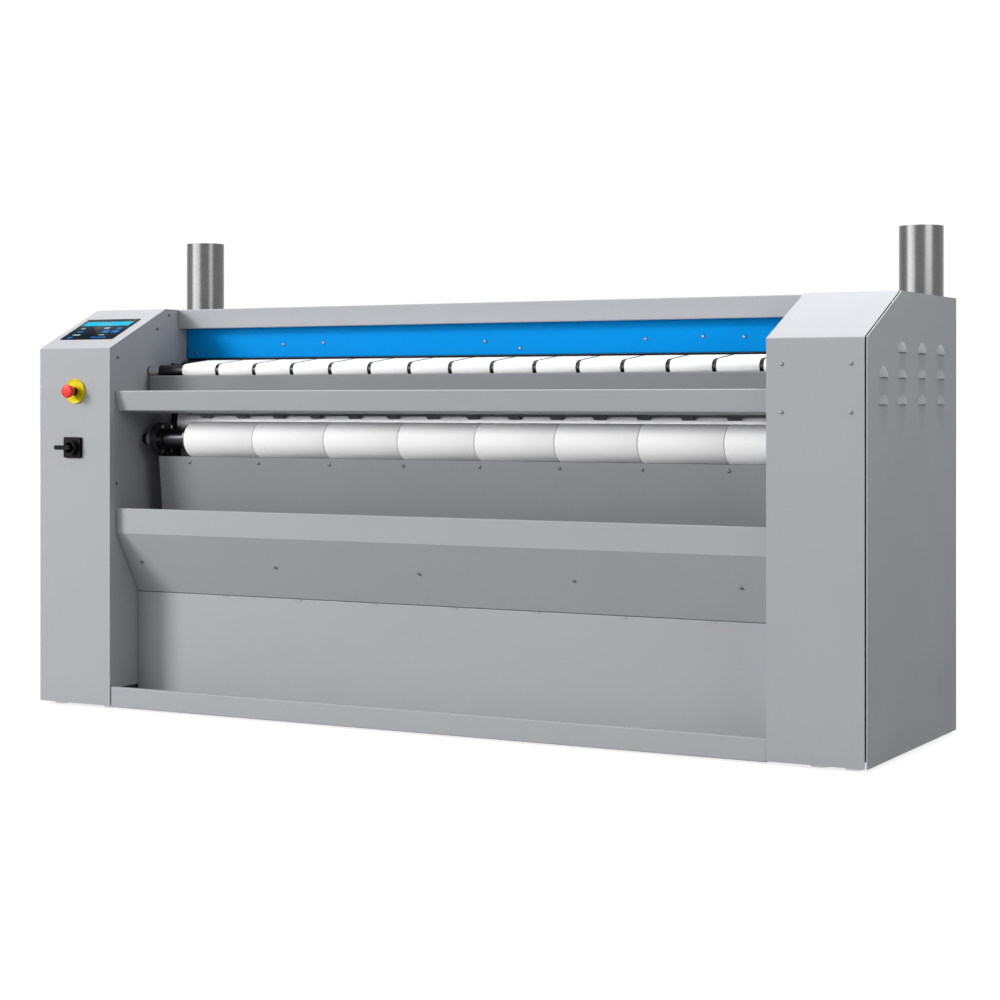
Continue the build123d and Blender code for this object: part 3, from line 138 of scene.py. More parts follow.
def settle(piece: Piece) -> Piece:
    """Move an object's place, turn and size into its mesh.

    Args:
        piece: The object to settle.

    Returns:
        The same object, at the origin, unturned and unscaled.
    """
    select_only(piece)
    bpy.ops.object.transform_apply(location=True, rotation=True, scale=True)
    return piece


def round_bar(centre: Sequence[float], radius: float, length: float, way: Way, sides: int = 64) -> Piece:
    """Add a cylinder as the start of a round piece.

    Args:
        centre: Middle of the bar.
        radius: Its radius.
        length: Its length.
        way: The direction of its axis.
        sides: How many sides it has.

    Returns:
        The new object, settled.
    """
    turns = {Way.X: (0.0, math.pi / 2, 0.0), Way.Y: (math.pi / 2, 0.0, 0.0), Way.Z: (0.0, 0.0, 0.0)}
    bpy.ops.object.select_all(action="DESELECT")
    bpy.ops.mesh.primitive_cylinder_add(vertices=sides, radius=radius, depth=length, location=centre,
                                        rotation=turns[way])
    return settle(bpy.context.object)


def block(low: Sequence[float], high: Sequence[float]) -> Piece:
    """Add a box between two corners as the start of a flat-sided piece.

    Args:
        low: Its lowest corner.
        high: Its highest corner.

    Returns:
        The new object, settled.
    """
    low_corner, high_corner = Vector(low), Vector(high)
    bpy.ops.object.select_all(action="DESELECT")
    bpy.ops.mesh.primitive_cube_add(size=1, location=(low_corner + high_corner) / 2)
    bpy.context.object.scale = high_corner - low_corner
    return settle(bpy.context.object)


@contextmanager
def editing(piece: Piece, kind: str = "FACE") -> Iterator[None]:
    """Open a piece in edit mode with nothing selected.

    Args:
        piece: The piece to edit.
        kind: VERT, EDGE or FACE selection.

    Yields:
        Nothing; the piece is in edit mode meanwhile.
    """
    select_only(piece)
    bpy.ops.object.mode_set(mode="EDIT")
    bpy.ops.mesh.select_mode(type=kind)
    bpy.ops.mesh.select_all(action="DESELECT")
    try:
        yield
    finally:
        bpy.ops.object.mode_set(mode="OBJECT")


def pick(piece: Piece, parts: str, wanted: Callable[..., bool]) -> None:
    """Select the faces or edges of a piece in edit mode that pass a test, and no others.

    Args:
        piece: The piece in edit mode.
        parts: What is picked, faces or edges.
        wanted: Says of a face or an edge whether it is selected.
    """
    bpy.ops.mesh.select_all(action="DESELECT")
    mesh = bmesh.from_edit_mesh(piece.data)
    for part in [part for part in getattr(mesh, parts) if wanted(part)]:
        part.select_set(True)
    bmesh.update_edit_mesh(piece.data)


def pick_facing(piece: Piece, way: Towards, least: float = 0.9) -> None:
    """Select just the faces of a piece in edit mode that look in a direction, or nearly so."""
    pick(piece, "faces", lambda face: face.normal.dot(Vector(way.value)) > least)


def extrude(shift: Sequence[float]) -> None:
    """Extrude what is selected in edit mode by a shift."""
    bpy.ops.mesh.extrude_region_move(TRANSFORM_OT_translate={"value": tuple(shift)})


def modify(piece: Piece, kind: str, **settings: object) -> None:
    """Apply a modifier to a piece.

    Args:
        piece: The piece.
        kind: The modifier's type.
        **settings: Attributes to set on it.
    """
    select_only(piece)
    step = piece.modifiers.new(kind.lower(), kind)
    for key, value in settings.items():
        setattr(step, key, value)
    bpy.ops.object.modifier_apply(modifier=step.name)


def soften(piece: Piece, width: float, segments: int = 2, angle: float = 40.0) -> None:
    """Round a piece's edges that are sharper than this many degrees, to this width in so many segments."""
    modify(piece, "BEVEL", width=width, segments=segments,
           limit_method="ANGLE", angle_limit=math.radians(angle))


def round_corners(piece: Piece, way: Way, radius: float, segments: int) -> None:
    """Round the edges of a box that run along one direction.

    Args:
        piece: The box.
        way: The direction of the edges.
        radius: Radius of the rounding.
        segments: Its segments.
    """
    number = "XYZ".index(way.value)
    with editing(piece, "EDGE"):
        pick(piece, "edges", lambda edge: abs(edge.verts[0].co[number] - edge.verts[1].co[number]) > 1e-4)
        bpy.ops.mesh.bevel(offset=radius, segments=segments, affect="EDGES")


def cut(piece: Piece, cutter: Piece) -> None:
    """Take a cutter's shape out of a piece and remove the cutter."""
    modify(piece, "BOOLEAN", operation="DIFFERENCE", object=cutter, solver="EXACT")
    bpy.data.objects.remove(cutter)


def copy_at(piece: Piece, place: Matrix) -> Piece:
    """Copy a piece with its own mesh, moved by a matrix.

    Args:
        piece: The piece to copy.
        place: The move from the piece to its copy.

    Returns:
        The copy.
    """
    twin = piece.copy()
    twin.data = piece.data.copy()
    twin.data.transform(place)
    bpy.context.scene.collection.objects.link(twin)
    return twin


def join(pieces: Sequence[Piece]) -> Piece:
    """Join pieces into the first one.

    Args:
        pieces: The pieces to join.

    Returns:
        The first piece, with the others in it.
    """
    select_only(*pieces)
    if len(pieces) > 1:
        bpy.ops.object.join()
    return bpy.context.view_layer.objects.active


def facing(point: Sequence[float], normal: Sequence[float], right: Sequence[float] = (1, 0, 0)) -> Matrix:
    """Return the move that brings a piece made on the XY plane to a face of the machine.

    Args:
        point: Where the piece's origin goes.
        normal: Where its Z axis goes.
        right: Where its X axis goes, as nearly as the normal allows.

    Returns:
        The matrix.
    """
    z = Vector(normal).normalized()
    x = (Vector(right) - z * Vector(right).dot(z)).normalized()
    turn = Matrix((x, z.cross(x), z)).transposed().to_4x4()
    return Matrix.Translation(Vector(point)) @ turn


def hand_over(piece: Piece, name: str, body: str, finish: Material,
              stands_for: Iterable[str] = (), smooth: float = 35.0) -> None:
    """Name, dress and attach a finished piece, hide the CAD nodes that it replaces and log it.

    Args:
        piece: The finished piece.
        name: Its name.
        body: The body that it rides on.
        finish: Its material.
        stands_for: CAD nodes that it replaces.
        smooth: Edges below this many degrees are shaded smooth.
    """
    settle(piece)
    piece.name = name
    piece.data.name = name
    piece.data.materials.clear()
    piece.data.materials.append(finish)
    bpy.ops.object.shade_smooth_by_angle(angle=math.radians(smooth))
    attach(piece, body)
    nodes = tuple(stands_for)
    if nodes:
        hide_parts(*nodes)
    log.info("%s: %d faces on %s, for %s", name, len(piece.data.polygons), body, ", ".join(nodes) or "itself")


# ------------------------------------------------------------------ finishes


class Nodes:
    """A node tree while it is put together."""

    def __init__(self, tree: bpy.types.NodeTree) -> None:
        """Keep the tree."""
        self.tree = tree

    def node(self, kind: str, **settings: object) -> bpy.types.Node:
        """Add a node with settings of its own.

        Args:
            kind: The node's type.
            **settings: Attributes to set on it.

        Returns:
            The node.
        """
        made = self.tree.nodes.new(kind)
        for key, value in settings.items():
            setattr(made, key, value)
        return made

    def link(self, output: Socket, socket: Socket) -> None:
        """Join an output to a socket."""
        self.tree.links.new(output, socket)

    def spread(self, value: Socket, low: float, high: float, start: float = 0.3, end: float = 0.7) -> Socket:
        """Spread a value over a range.

        Args:
            value: The value, such as a noise, which lies mostly between 0.3 and 0.7.
            low: What it becomes at its start.
            high: What it becomes at its end.
            start: Where it starts.
            end: Where it ends.

        Returns:
            The spread value.
        """
        span = self.node("ShaderNodeMapRange")
        for key, number in (("From Min", start), ("From Max", end), ("To Min", low), ("To Max", high)):
            span.inputs[key].default_value = number
        self.link(value, span.inputs["Value"])
        return span.outputs["Result"]

    def maths(self, operation: str, first: Socket, second: Socket | float) -> Socket:
        """Return the result of a Math node.

        Args:
            operation: What it does.
            first: Its first value.
            second: Its second value, linked or constant.

        Returns:
            The node's value output.
        """
        step = self.node("ShaderNodeMath", operation=operation)
        self.link(first, step.inputs[0])
        if isinstance(second, float):
            step.inputs[1].default_value = second
        else:
            self.link(second, step.inputs[1])
        return step.outputs["Value"]

    def seen(self) -> Socket:
        """Tell the rays that see a surface from the rays that light it.

        Returns:
            1 for rays that see it directly, reflected or through glass, and 0 for others.
        """
        path = self.node("ShaderNodeLightPath")
        direct = self.maths("MAXIMUM", path.outputs["Is Camera Ray"], path.outputs["Is Glossy Ray"])
        return self.maths("MAXIMUM", direct, path.outputs["Is Transmission Ray"])


class Recipe(Nodes):
    """A material while it is put together round its Principled shader."""

    def __init__(self, name: str) -> None:
        """Start a material.

        Args:
            name: The material's name.
        """
        self.material = bpy.data.materials.new(name)
        self.material.use_nodes = True
        super().__init__(self.material.node_tree)
        self.shader = self.tree.nodes["Principled BSDF"]

    def feed(self, socket: str, output: Socket) -> None:
        """Join an output to one of the shader's sockets."""
        self.link(output, self.shader.inputs[socket])

    def set(self, **values: object) -> None:
        """Set constants on the shader's sockets; an underscore in a name stands for a space."""
        for key, value in values.items():
            self.shader.inputs[key.replace("_", " ")].default_value = value

    def place(self, scale: Sequence[float] = (1, 1, 1), source: str = "Object") -> Socket:
        """Give the coordinates that a pattern follows.

        Args:
            scale: Factor for each axis.
            source: The kind of coordinates, Object or UV.

        Returns:
            The coordinates times the scale.
        """
        spot = self.node("ShaderNodeTexCoord")
        mapping = self.node("ShaderNodeMapping")
        mapping.inputs["Scale"].default_value = scale
        self.link(spot.outputs[source], mapping.inputs["Vector"])
        return mapping.outputs["Vector"]

    def noise(self, scale: float, detail: float = 2.0, stretch: Sequence[float] = (1, 1, 1)) -> Socket:
        """Return a noise value on Object coordinates.

        Args:
            scale: Features per metre.
            detail: Octaves.
            stretch: Scale of each axis before the noise.

        Returns:
            The noise's value output.
        """
        grain = self.node("ShaderNodeTexNoise")
        grain.inputs["Scale"].default_value = scale
        grain.inputs["Detail"].default_value = detail
        self.link(self.place(stretch), grain.inputs["Vector"])
        return grain.outputs["Fac"]

    def blend(self, value: Socket, first: Sequence[float], second: Sequence[float]) -> Socket:
        """Blend two colours by a value.

        Args:
            value: The value that decides.
            first: The colour up to a value of 0.3.
            second: The colour from a value of 0.7.

        Returns:
            The blended colour.
        """
        ramp = self.node("ShaderNodeValToRGB")
        ramp.color_ramp.elements[0].position = 0.3
        ramp.color_ramp.elements[0].color = (*first, 1)
        ramp.color_ramp.elements[1].position = 0.7
        ramp.color_ramp.elements[1].color = (*second, 1)
        self.link(value, ramp.inputs["Fac"])
        return ramp.outputs["Color"]

    def bump(self, height: Socket, strength: float, distance: float) -> None:
        """Raise the surface by a height value.

        Args:
            height: The height value.
            strength: How strongly the relief shades the surface.
            distance: Height of a value of 1, in metres.
        """
        relief = self.node("ShaderNodeBump")
        relief.inputs["Strength"].default_value = strength
        relief.inputs["Distance"].default_value = distance
        self.link(height, relief.inputs["Height"])
        self.feed("Normal", relief.outputs["Normal"])


def shade(colour: Sequence[float], factor: float) -> tuple[float, ...]:
    """Return a colour times a factor."""
    return tuple(min(1.0, part * factor) for part in colour)


@dataclass(frozen=True)
class Coat:
    """Baked powder coat or paint on sheet metal, with a fine orange peel and faint clouds."""

    name: str
    colour: tuple[float, float, float]
    roughness: float = 0.42
    clouds: float = 0.02
    peel: float = 0.05
    shine: float = 0.25

    def build(self) -> Material:
        """Make the finish.

        Returns:
            Its material.
        """
        recipe = Recipe(self.name)
        recipe.set(IOR=1.5, Specular_IOR_Level=self.shine)
        darker, lighter = shade(self.colour, 1 - self.clouds), shade(self.colour, 1 + self.clouds)
        recipe.feed("Base Color", recipe.blend(recipe.noise(2.2, 3.0), darker, lighter))
        recipe.feed("Roughness", recipe.spread(recipe.noise(5.0, 2.0),
                                               self.roughness - 0.03, self.roughness + 0.03))
        recipe.bump(recipe.noise(650.0, 2.0), self.peel, 0.0003)
        return recipe.material


@dataclass(frozen=True)
class Steel:
    """Bare or plated metal with a fine grain along one direction."""

    name: str
    colour: tuple[float, float, float]
    roughness: float = 0.3
    grain: Way = Way.X
    fineness: float = 900.0
    streak: float = 0.04

    def build(self) -> Material:
        """Make the finish.

        Returns:
            Its material.
        """
        stretch = {Way.X: (0.02, 1, 1), Way.Y: (1, 0.02, 1), Way.Z: (1, 1, 0.02)}[self.grain]
        recipe = Recipe(self.name)
        recipe.set(Metallic=1.0)
        lines = recipe.noise(self.fineness, 3.0, stretch)
        darker, lighter = shade(self.colour, 1 - 2 * self.streak), shade(self.colour, 1 + 2 * self.streak)
        recipe.feed("Base Color", recipe.blend(lines, darker, lighter))
        recipe.feed("Roughness", recipe.spread(lines,
                                               self.roughness - self.streak, self.roughness + self.streak))
        recipe.bump(lines, 0.04, 0.0002)
        return recipe.material


@dataclass(frozen=True)
class Casting:
    """Cast metal under paint: a coarse skin with darker hollows."""

    name: str
    colour: tuple[float, float, float]
    roughness: float = 0.55
    metallic: float = 0.0

    def build(self) -> Material:
        """Make the finish.

        Returns:
            Its material.
        """
        recipe = Recipe(self.name)
        recipe.set(Metallic=self.metallic, Roughness=self.roughness)
        skin = recipe.noise(260.0, 4.0)
        recipe.feed("Base Color", recipe.blend(skin, shade(self.colour, 0.75), shade(self.colour, 1.2)))
        recipe.bump(skin, 0.25, 0.0008)
        return recipe.material


@dataclass(frozen=True)
class Plastic:
    """Moulded plastic with a fine sparked texture."""

    name: str
    colour: tuple[float, float, float]
    roughness: float = 0.35
    texture: float = 0.04
    index: float = 1.45

    def build(self) -> Material:
        """Make the finish.

        Returns:
            Its material.
        """
        recipe = Recipe(self.name)
        recipe.set(IOR=self.index)
        skin = recipe.noise(1400.0, 2.0)
        darker, lighter = shade(self.colour, 0.96), shade(self.colour, 1.04)
        recipe.feed("Base Color", recipe.blend(recipe.noise(40.0, 2.0), darker, lighter))
        recipe.feed("Roughness", recipe.spread(skin, self.roughness - 0.04, self.roughness + 0.04))
        recipe.bump(skin, self.texture, 0.0002)
        return recipe.material


@dataclass(frozen=True)
class Glow:
    """Lit picture of a display, with fine rows of dots."""

    name: str
    colour: tuple[float, float, float]
    strength: float = 0.5

    def build(self) -> Material:
        """Make the finish.

        Returns:
            Its material.
        """
        recipe = Recipe(self.name)
        recipe.set(Roughness=0.2, IOR=1.04, Emission_Strength=self.strength)
        dots = recipe.noise(1500.0, 1.0, (1, 0.4, 1))
        colour = recipe.blend(dots, shade(self.colour, 0.85), self.colour)
        recipe.feed("Base Color", colour)
        recipe.feed("Emission Color", colour)
        return recipe.material


@dataclass(frozen=True)
class Weave:
    """Woven band: warp and weft threads on the band's own UV map, in metres across and along it.

    With a middle and a half width given, also across, its edges are painted black: painted shade for the gaps
    between bands.
    """

    name: str
    colour: tuple[float, float, float]
    middle: float = 0.0
    half_width: float = 1.0
    # Width and colour of the painted shade along the band's edges.
    gap_shade_width: float = 0.0011
    gap_shade_colour: tuple[float, float, float] = (0.02, 0.02, 0.02)
    thread: float = 0.0016
    relief: float = 0.35

    def build(self) -> Material:
        """Make the finish.

        Returns:
            Its material.
        """
        recipe = Recipe(self.name)
        recipe.set(Roughness=0.75, Sheen_Weight=0.15, Sheen_Roughness=0.5)
        spot = recipe.place((1, 1, 1), "UV")
        waves = []
        for direction in ("X", "Y"):
            wave = recipe.node("ShaderNodeTexWave", bands_direction=direction)
            # At scale 1 a wave is pi / 10 long.
            wave.inputs["Scale"].default_value = math.pi / 10 / self.thread
            wave.inputs["Distortion"].default_value = 0.6
            wave.inputs["Detail"].default_value = 1.0
            recipe.link(spot, wave.inputs["Vector"])
            waves.append(wave.outputs["Fac"])
        cloth = recipe.blend(recipe.noise(7.0, 3.0), shade(self.colour, 0.97), self.colour)
        across = recipe.node("ShaderNodeSeparateXYZ")
        recipe.link(spot, across.inputs["Vector"])
        recipe.feed("Base Color", self.painted_gap_shade(recipe, across.outputs["X"], cloth))
        recipe.bump(recipe.maths("MULTIPLY", *waves), self.relief, 0.0003)
        return recipe.material

    def painted_gap_shade(self, recipe: Recipe, across: Socket, cloth: Socket) -> Socket:
        """Paint the band's edges black, as painted shade for the gaps between bands.

        Args:
            recipe: The material being put together.
            across: Place across the band.
            cloth: Colour of the cloth.

        Returns:
            The colour with its edges.
        """
        # Painted shade: the cloth turns black near its edges, for the shade in the gaps between bands.
        offset = recipe.maths("ABSOLUTE", recipe.maths("SUBTRACT", across, self.middle), 0.0)
        in_gap_shade = recipe.maths("GREATER_THAN", offset, self.half_width - self.gap_shade_width)
        mixed = recipe.node("ShaderNodeMix", data_type="RGBA")
        recipe.link(in_gap_shade, mixed.inputs["Factor"])
        recipe.link(cloth, mixed.inputs[6])
        mixed.inputs[7].default_value = (*self.gap_shade_colour, 1)
        return mixed.outputs[2]


class Finishes:
    """Every finish of the machine, built once."""

    def __init__(self) -> None:
        """Build the materials."""
        made: dict[Slot, Coat | Steel | Casting | Plastic | Weave] = {
            Slot.CASING: Coat("satin_grey_coat", (0.405, 0.415, 0.436), 0.5, shine=0.12),
            Slot.FRAME: Coat("frame_grey_paint", (0.05, 0.053, 0.06), 0.5),
            Slot.ZINC: Steel("zinc_plate", (0.55, 0.56, 0.58), 0.35, Way.Y, 300.0),
            # Polished steel gets a dark base colour: painted shade for the dim surroundings that the pipes
            # reflect.
            Slot.POLISHED: Steel("brushed_stainless_painted_dim", (0.13, 0.13, 0.13), 0.27, Way.Z, 1200.0, 0.02),
            Slot.DARK_STEEL: Steel("dark_ground_steel", (0.035, 0.035, 0.038), 0.30, Way.Y, 800.0),
            Slot.BLACK_PAINT: Coat("black_enamel", (0.012, 0.012, 0.013), 0.25),
            Slot.CAST_IRON: Casting("painted_cast_iron", (0.05, 0.052, 0.058)),
            Slot.CAST_ALUMINIUM: Casting("cast_aluminium", (0.35, 0.36, 0.37), 0.45, 0.8),
            Slot.BAND: Weave("white_band_cloth", (0.90, 0.90, 0.90)),
            Slot.BLUE: Coat("blue_gloss_paint", (0.0, 0.27, 0.72), 0.40, clouds=0.015, peel=0.02, shine=0.02),
            Slot.SCREEN: Plastic("screen_glass", (0.004, 0.008, 0.012), 0.06, 0.0, 1.035),
            Slot.YELLOW: Plastic("yellow_signal_plastic", (0.72, 0.62, 0.001), 0.4, 0.04, 1.2),
            Slot.RED: Plastic("red_signal_plastic", (0.80, 0.035, 0.03), 0.3, 0.04, 1.3),
            Slot.BLACK: Plastic("black_plastic", (0.008, 0.008, 0.009), 0.45, 0.04, 1.15),
        }
        self.of = {slot: finish.build() for slot, finish in made.items()}
        # Painted shade: the chute and the apron sit in the shaded recess, so they get darker copies of the
        # casing's coat.
        self.chute = Coat("chute_painted_shade_coat", (0.24, 0.245, 0.26), 0.45).build()
        self.apron = Coat("apron_painted_shade_coat", (0.20, 0.205, 0.215), 0.5).build()
        # The feed bands' cloth has painted shade in black along its edges, for the gaps between the bands.
        self.feed_cloth = Weave("feed_band_cloth", (0.90, 0.90, 0.90), FEED_BAND_START + FEED_BAND_WIDTH / 2,
                                FEED_BAND_WIDTH / 2).build()
        self.cylinder = Steel("polished_cylinder", (0.82, 0.82, 0.83), 0.42, Way.Y, 500.0, 0.02).build()
        self.chrome = Steel("chromed_collar", (0.70, 0.70, 0.71), 0.12, Way.Y, 900.0).build()
        self.screws = Steel("blackened_screw", (0.16, 0.16, 0.17), 0.25, Way.Y, 900.0).build()
        # Black rubber for the strip under the finger guard: painted shade for the dark gap beneath it.
        self.rubber_gap_shade = Plastic("black_rubber_gap_shade", (0.008, 0.008, 0.009), 0.6, 0.1, 1.2).build()
        self.cyan = Glow("display_cyan", (0.005, 0.30, 0.46), 0.55).build()
        self.blue = Glow("display_blue", (0.004, 0.12, 0.36), 0.5).build()
        self.pale = Glow("display_pale", (0.18, 0.30, 0.36), 0.4).build()


# ------------------------------------------------------------------ sub-assemblies


@dataclass
class Casing:
    """Sheet metal, frames and inner works that keep their CAD shape and get a finish each."""

    finishes: Finishes

    def build(self) -> None:
        """Dress every CAD node with the finish of its slot, and a few with their own."""
        # The chute and the apron get darker coats, as painted shade of the recess.
        own = {"cylinder": self.finishes.cylinder, "linen_chute": self.finishes.chute,
               "feed_apron": self.finishes.apron, "housing_bolts": self.finishes.chrome}
        for part in frame["record"]["subparts"]:
            finish = own.get(part["node"], self.finishes.of[Slot(part["material_slot"])])
            for spot in frame["nodes"][part["node"]].material_slots:
                spot.link = "OBJECT"
                spot.material = finish


@dataclass(frozen=True)
class Wheel:
    """Roller that a band goes round; turn is 1 inside the band's loop and -1 outside it."""

    y: float
    z: float
    radius: float
    turn: int


def wheel_at(axis: Axis, radius: float, turn: int = 1) -> Wheel:
    """Return the wheel that a band sees at a roller, larger by the running gap."""
    return Wheel(*side(*axis.value), radius + RUNNING_GAP, turn)


@dataclass(frozen=True)
class Row:
    """Evenly spaced places along the machine."""

    first: float
    pitch: float
    count: int

    def places(self) -> list[float]:
        """Return the x of each place."""
        return [self.first + self.pitch * number for number in range(self.count)]


@dataclass
class BandSet:
    """Row of endless bands side by side round the same rollers."""

    name: str
    node: str
    wheels: tuple[Wheel, ...]
    first: float
    pitch: float
    width: float
    thickness: float
    count: int
    finish: Material
    arc_step: float = math.radians(6)

    def line(self) -> list[tuple[Vector, Vector, float]]:
        """Work out the band's inner face.

        Returns:
            For each wheel where its arc starts and ends, and the angle swept about +X.
        """
        circles = [(Vector((0, wheel.y, wheel.z)), wheel.radius + (self.thickness if wheel.turn < 0 else 0),
                    wheel.turn) for wheel in self.wheels]
        headings = []
        for (near, near_radius, near_turn), (far, far_radius, far_turn) in zip(circles,
                                                                               circles[1:] + circles[:1]):
            span = far - near
            lean = math.asin((far_turn * far_radius - near_turn * near_radius) / span.length)
            headings.append(math.atan2(span.z, span.y) - lean)
        arcs = []
        for number, (centre, radius, turn) in enumerate(circles):
            arrive = headings[number - 1]
            sweep = turn * ((turn * (headings[number] - arrive)) % (2 * math.pi))
            ends = [centre + Vector((0, math.sin(heading), -math.cos(heading))) * (turn * radius)
                    for heading in (arrive, arrive + sweep)]
            arcs.append((ends[0], ends[1], sweep))
        return arcs

    def one(self) -> Piece:
        """Model one band by extruding and spinning its edge round the loop.

        Returns:
            The band.
        """
        arcs = self.line()
        middle = self.first + self.width / 2
        start, end = arcs[-1][1], arcs[0][0]
        run = end - start
        bpy.ops.object.select_all(action="DESELECT")
        centre = (middle, (start.y + end.y) / 2, (start.z + end.z) / 2)
        tilt = math.atan2(run.z, run.y)
        bpy.ops.mesh.primitive_plane_add(size=1, location=centre, rotation=(tilt, 0, 0))
        band = bpy.context.object
        band.scale = (self.width, run.length, 1)
        settle(band)
        with editing(band, "EDGE"):
            pick(band, "edges",
                 lambda edge: all((Vector((0, v.co.y, v.co.z)) - end).length < 1e-5 for v in edge.verts))
            for number, (wheel, (_, leave, sweep)) in enumerate(zip(self.wheels, arcs)):
                steps = max(3, round(abs(sweep) / self.arc_step))
                bpy.ops.mesh.spin(steps=steps, angle=-sweep,
                                  center=(middle, wheel.y, wheel.z), axis=(1, 0, 0))
                if number + 1 < len(arcs):
                    extrude(arcs[number + 1][0] - leave)
            bpy.ops.mesh.select_all(action="SELECT")
            bpy.ops.mesh.remove_doubles(threshold=1e-5)
            bpy.ops.mesh.normals_make_consistent(inside=False)
        self.lay_threads(band, arcs)
        modify(band, "SOLIDIFY", thickness=self.thickness, offset=1)
        soften(band, self.thickness * 0.3, 2, 60)
        return band

    def lay_threads(self, band: Piece, arcs: Sequence[tuple[Vector, Vector, float]]) -> None:
        """Give the band a UV map in metres, across and along it.

        Args:
            band: The band before it gets its thickness.
            arcs: Its arcs, as line() gives them.
        """
        stations: list[tuple[Vector, float]] = []
        run = 0.0
        for number, (wheel, (arrive, leave, sweep)) in enumerate(zip(self.wheels, arcs)):
            centre = Vector((0, wheel.y, wheel.z))
            radius = (arrive - centre).length
            steps = max(3, round(abs(sweep) / self.arc_step))
            for step in range(steps + 1):
                turned = Matrix.Rotation(sweep * step / steps, 3, "X") @ (arrive - centre)
                stations.append((centre + turned, run + radius * abs(sweep) * step / steps))
            run += radius * abs(sweep) + (arcs[(number + 1) % len(arcs)][0] - leave).length
        layer = band.data.uv_layers.active or band.data.uv_layers.new(name="UVMap")
        along = []
        for vertex in band.data.vertices:
            spot = Vector((0, vertex.co.y, vertex.co.z))
            along.append(min(stations, key=lambda station: (station[0] - spot).length)[1])
        for face in band.data.polygons:
            runs = [along[index] for index in face.vertices]
            wraps = max(runs) - min(runs) > run / 2
            for corner in face.loop_indices:
                vertex = band.data.loops[corner].vertex_index
                here = along[vertex] + (run if wraps and along[vertex] < run / 2 else 0)
                layer.data[corner].uv = (band.data.vertices[vertex].co.x, here)

    def build(self) -> None:
        """Model one band and copy it along the machine."""
        first = self.one()
        bands = [first] + [copy_at(first, Matrix.Translation((self.pitch * number, 0, 0)))
                           for number in range(1, self.count)]
        for number, band in enumerate(bands, 1):
            hand_over(band, f"{self.name}_{number}", "root", self.finish, (self.node,), 50)


@dataclass
class Screws:
    """Pan-head screws with a cross recess in the covers and the finger guard.

    Places on the walls, the tray and the chute are depths behind the columns' front with heights. The guard's
    are shares of the way from the left wall to the right one, with heights.
    """

    finish: Material
    radius: float = 0.0045
    height: float = 0.0024
    recess: float = 0.0012
    bar_width: float = 0.0011
    bar_length: float = 0.0052
    front_insets: tuple[float, ...] = (0.038, 0.204)
    front_heights: tuple[float, ...] = (0.808, 0.918)
    wall_places: tuple[tuple[float, float], ...] = ((0.033, 0.953), (0.208, 1.035), (0.027, 0.610))
    left_wall_place: tuple[float, float] = (0.262, 1.075)
    back_columns: tuple[float, ...] = (LEFT + 0.020, LEFT_WALL - 0.014, LEFT_WALL + 0.030)
    back_heights: tuple[float, ...] = (0.06, 0.4, 0.74, 1.05)
    tray_lip: tuple[float, float] = (0.027, 0.475)
    tray_fold: tuple[float, float] = (0.120, 0.312)
    tray_depth: float = 0.045
    tray_row: Row = Row(LEFT_WALL + 0.054, 0.438, 5)
    chute_place: tuple[float, float] = (0.139565, 0.667)
    chute_lean: float = 0.101
    chute_row: Row = Row(-0.784, 0.226, 8)
    guard_depth: float = 0.342
    guard_places: tuple[tuple[float, float], ...] = (
        (0.018, 0.971), (0.176, 0.991), (0.246, 0.994), (0.513, 0.991), (0.568, 0.971), (0.758, 0.991),
        (0.841, 0.995), (0.899, 0.993))

    def one(self) -> Piece:
        """Model one head on the XY plane.

        Returns:
            The head.
        """
        head = round_bar((0, 0, self.height / 2), self.radius, self.height, Way.Z, 28)
        with editing(head):
            pick_facing(head, Towards.UP)
            bpy.ops.mesh.bevel(offset=self.height * 0.7, segments=4, affect="EDGES")
        depth = self.height - self.recess
        for size in ((self.bar_length, self.bar_width), (self.bar_width, self.bar_length)):
            cut(head, block((-size[0] / 2, -size[1] / 2, depth), (size[0] / 2, size[1] / 2, 2 * self.height)))
        return head

    def cover_spots(self) -> list[tuple[Vector, Vector]]:
        """List the covers' screws.

        Returns:
            Where each screw sits, and the direction that it faces.
        """
        spots = [(Vector((RIGHT_WALL + inset, FRONT, height)), Vector((0, -1, 0)))
                 for inset in self.front_insets for height in self.front_heights]
        for place in self.wall_places:
            for wall, inwards in ((LEFT_WALL, 1), (RIGHT_WALL, -1)):
                spots.append((Vector((wall, *side(*place))), Vector((inwards, 0, 0))))
        spots.append((Vector((LEFT_WALL, *side(*self.left_wall_place))), Vector((1, 0, 0))))
        for x in self.back_columns:
            for mirrored in (x, -x):
                spots += [(Vector((mirrored, BACK, height)), Vector((0, 1, 0)))
                          for height in self.back_heights]
        lip, fold = (Vector((0, *side(*place))) for place in (self.tray_lip, self.tray_fold))
        slope = (fold - lip).normalized()
        tray = lip + slope * (self.tray_depth / slope.y)
        spots += [(Vector((x, tray.y, tray.z)), Vector((0, slope.z, -slope.y)))
                  for x in self.tray_row.places()]
        chute_normal = Vector((0, -1, -self.chute_lean)).normalized()
        spots += [(Vector((x, *side(*self.chute_place))), chute_normal) for x in self.chute_row.places()]
        return spots

    def guard_spots(self) -> list[tuple[Vector, Vector]]:
        """List the finger guard's screws.

        Returns:
            Where each screw sits, and the direction that it faces.
        """
        return [(Vector((LEFT_WALL + share * (RIGHT_WALL - LEFT_WALL), *side(self.guard_depth, height))),
                 Vector((0, -1, 0))) for share, height in self.guard_places]

    def build(self) -> None:
        """Copy the head to every place."""
        head = self.one()
        for name, node, body, spots in (("cover_screw_heads", "cover_screws", "root", self.cover_spots()),
                                        ("guard_screw_heads", "guard_screws", "guard", self.guard_spots())):
            heads = [copy_at(head, facing(point, normal, (0.3, 0.5, 0.8))) for point, normal in spots]
            hand_over(join(heads), name, body, self.finish, (node,), 40)
        bpy.data.objects.remove(head)


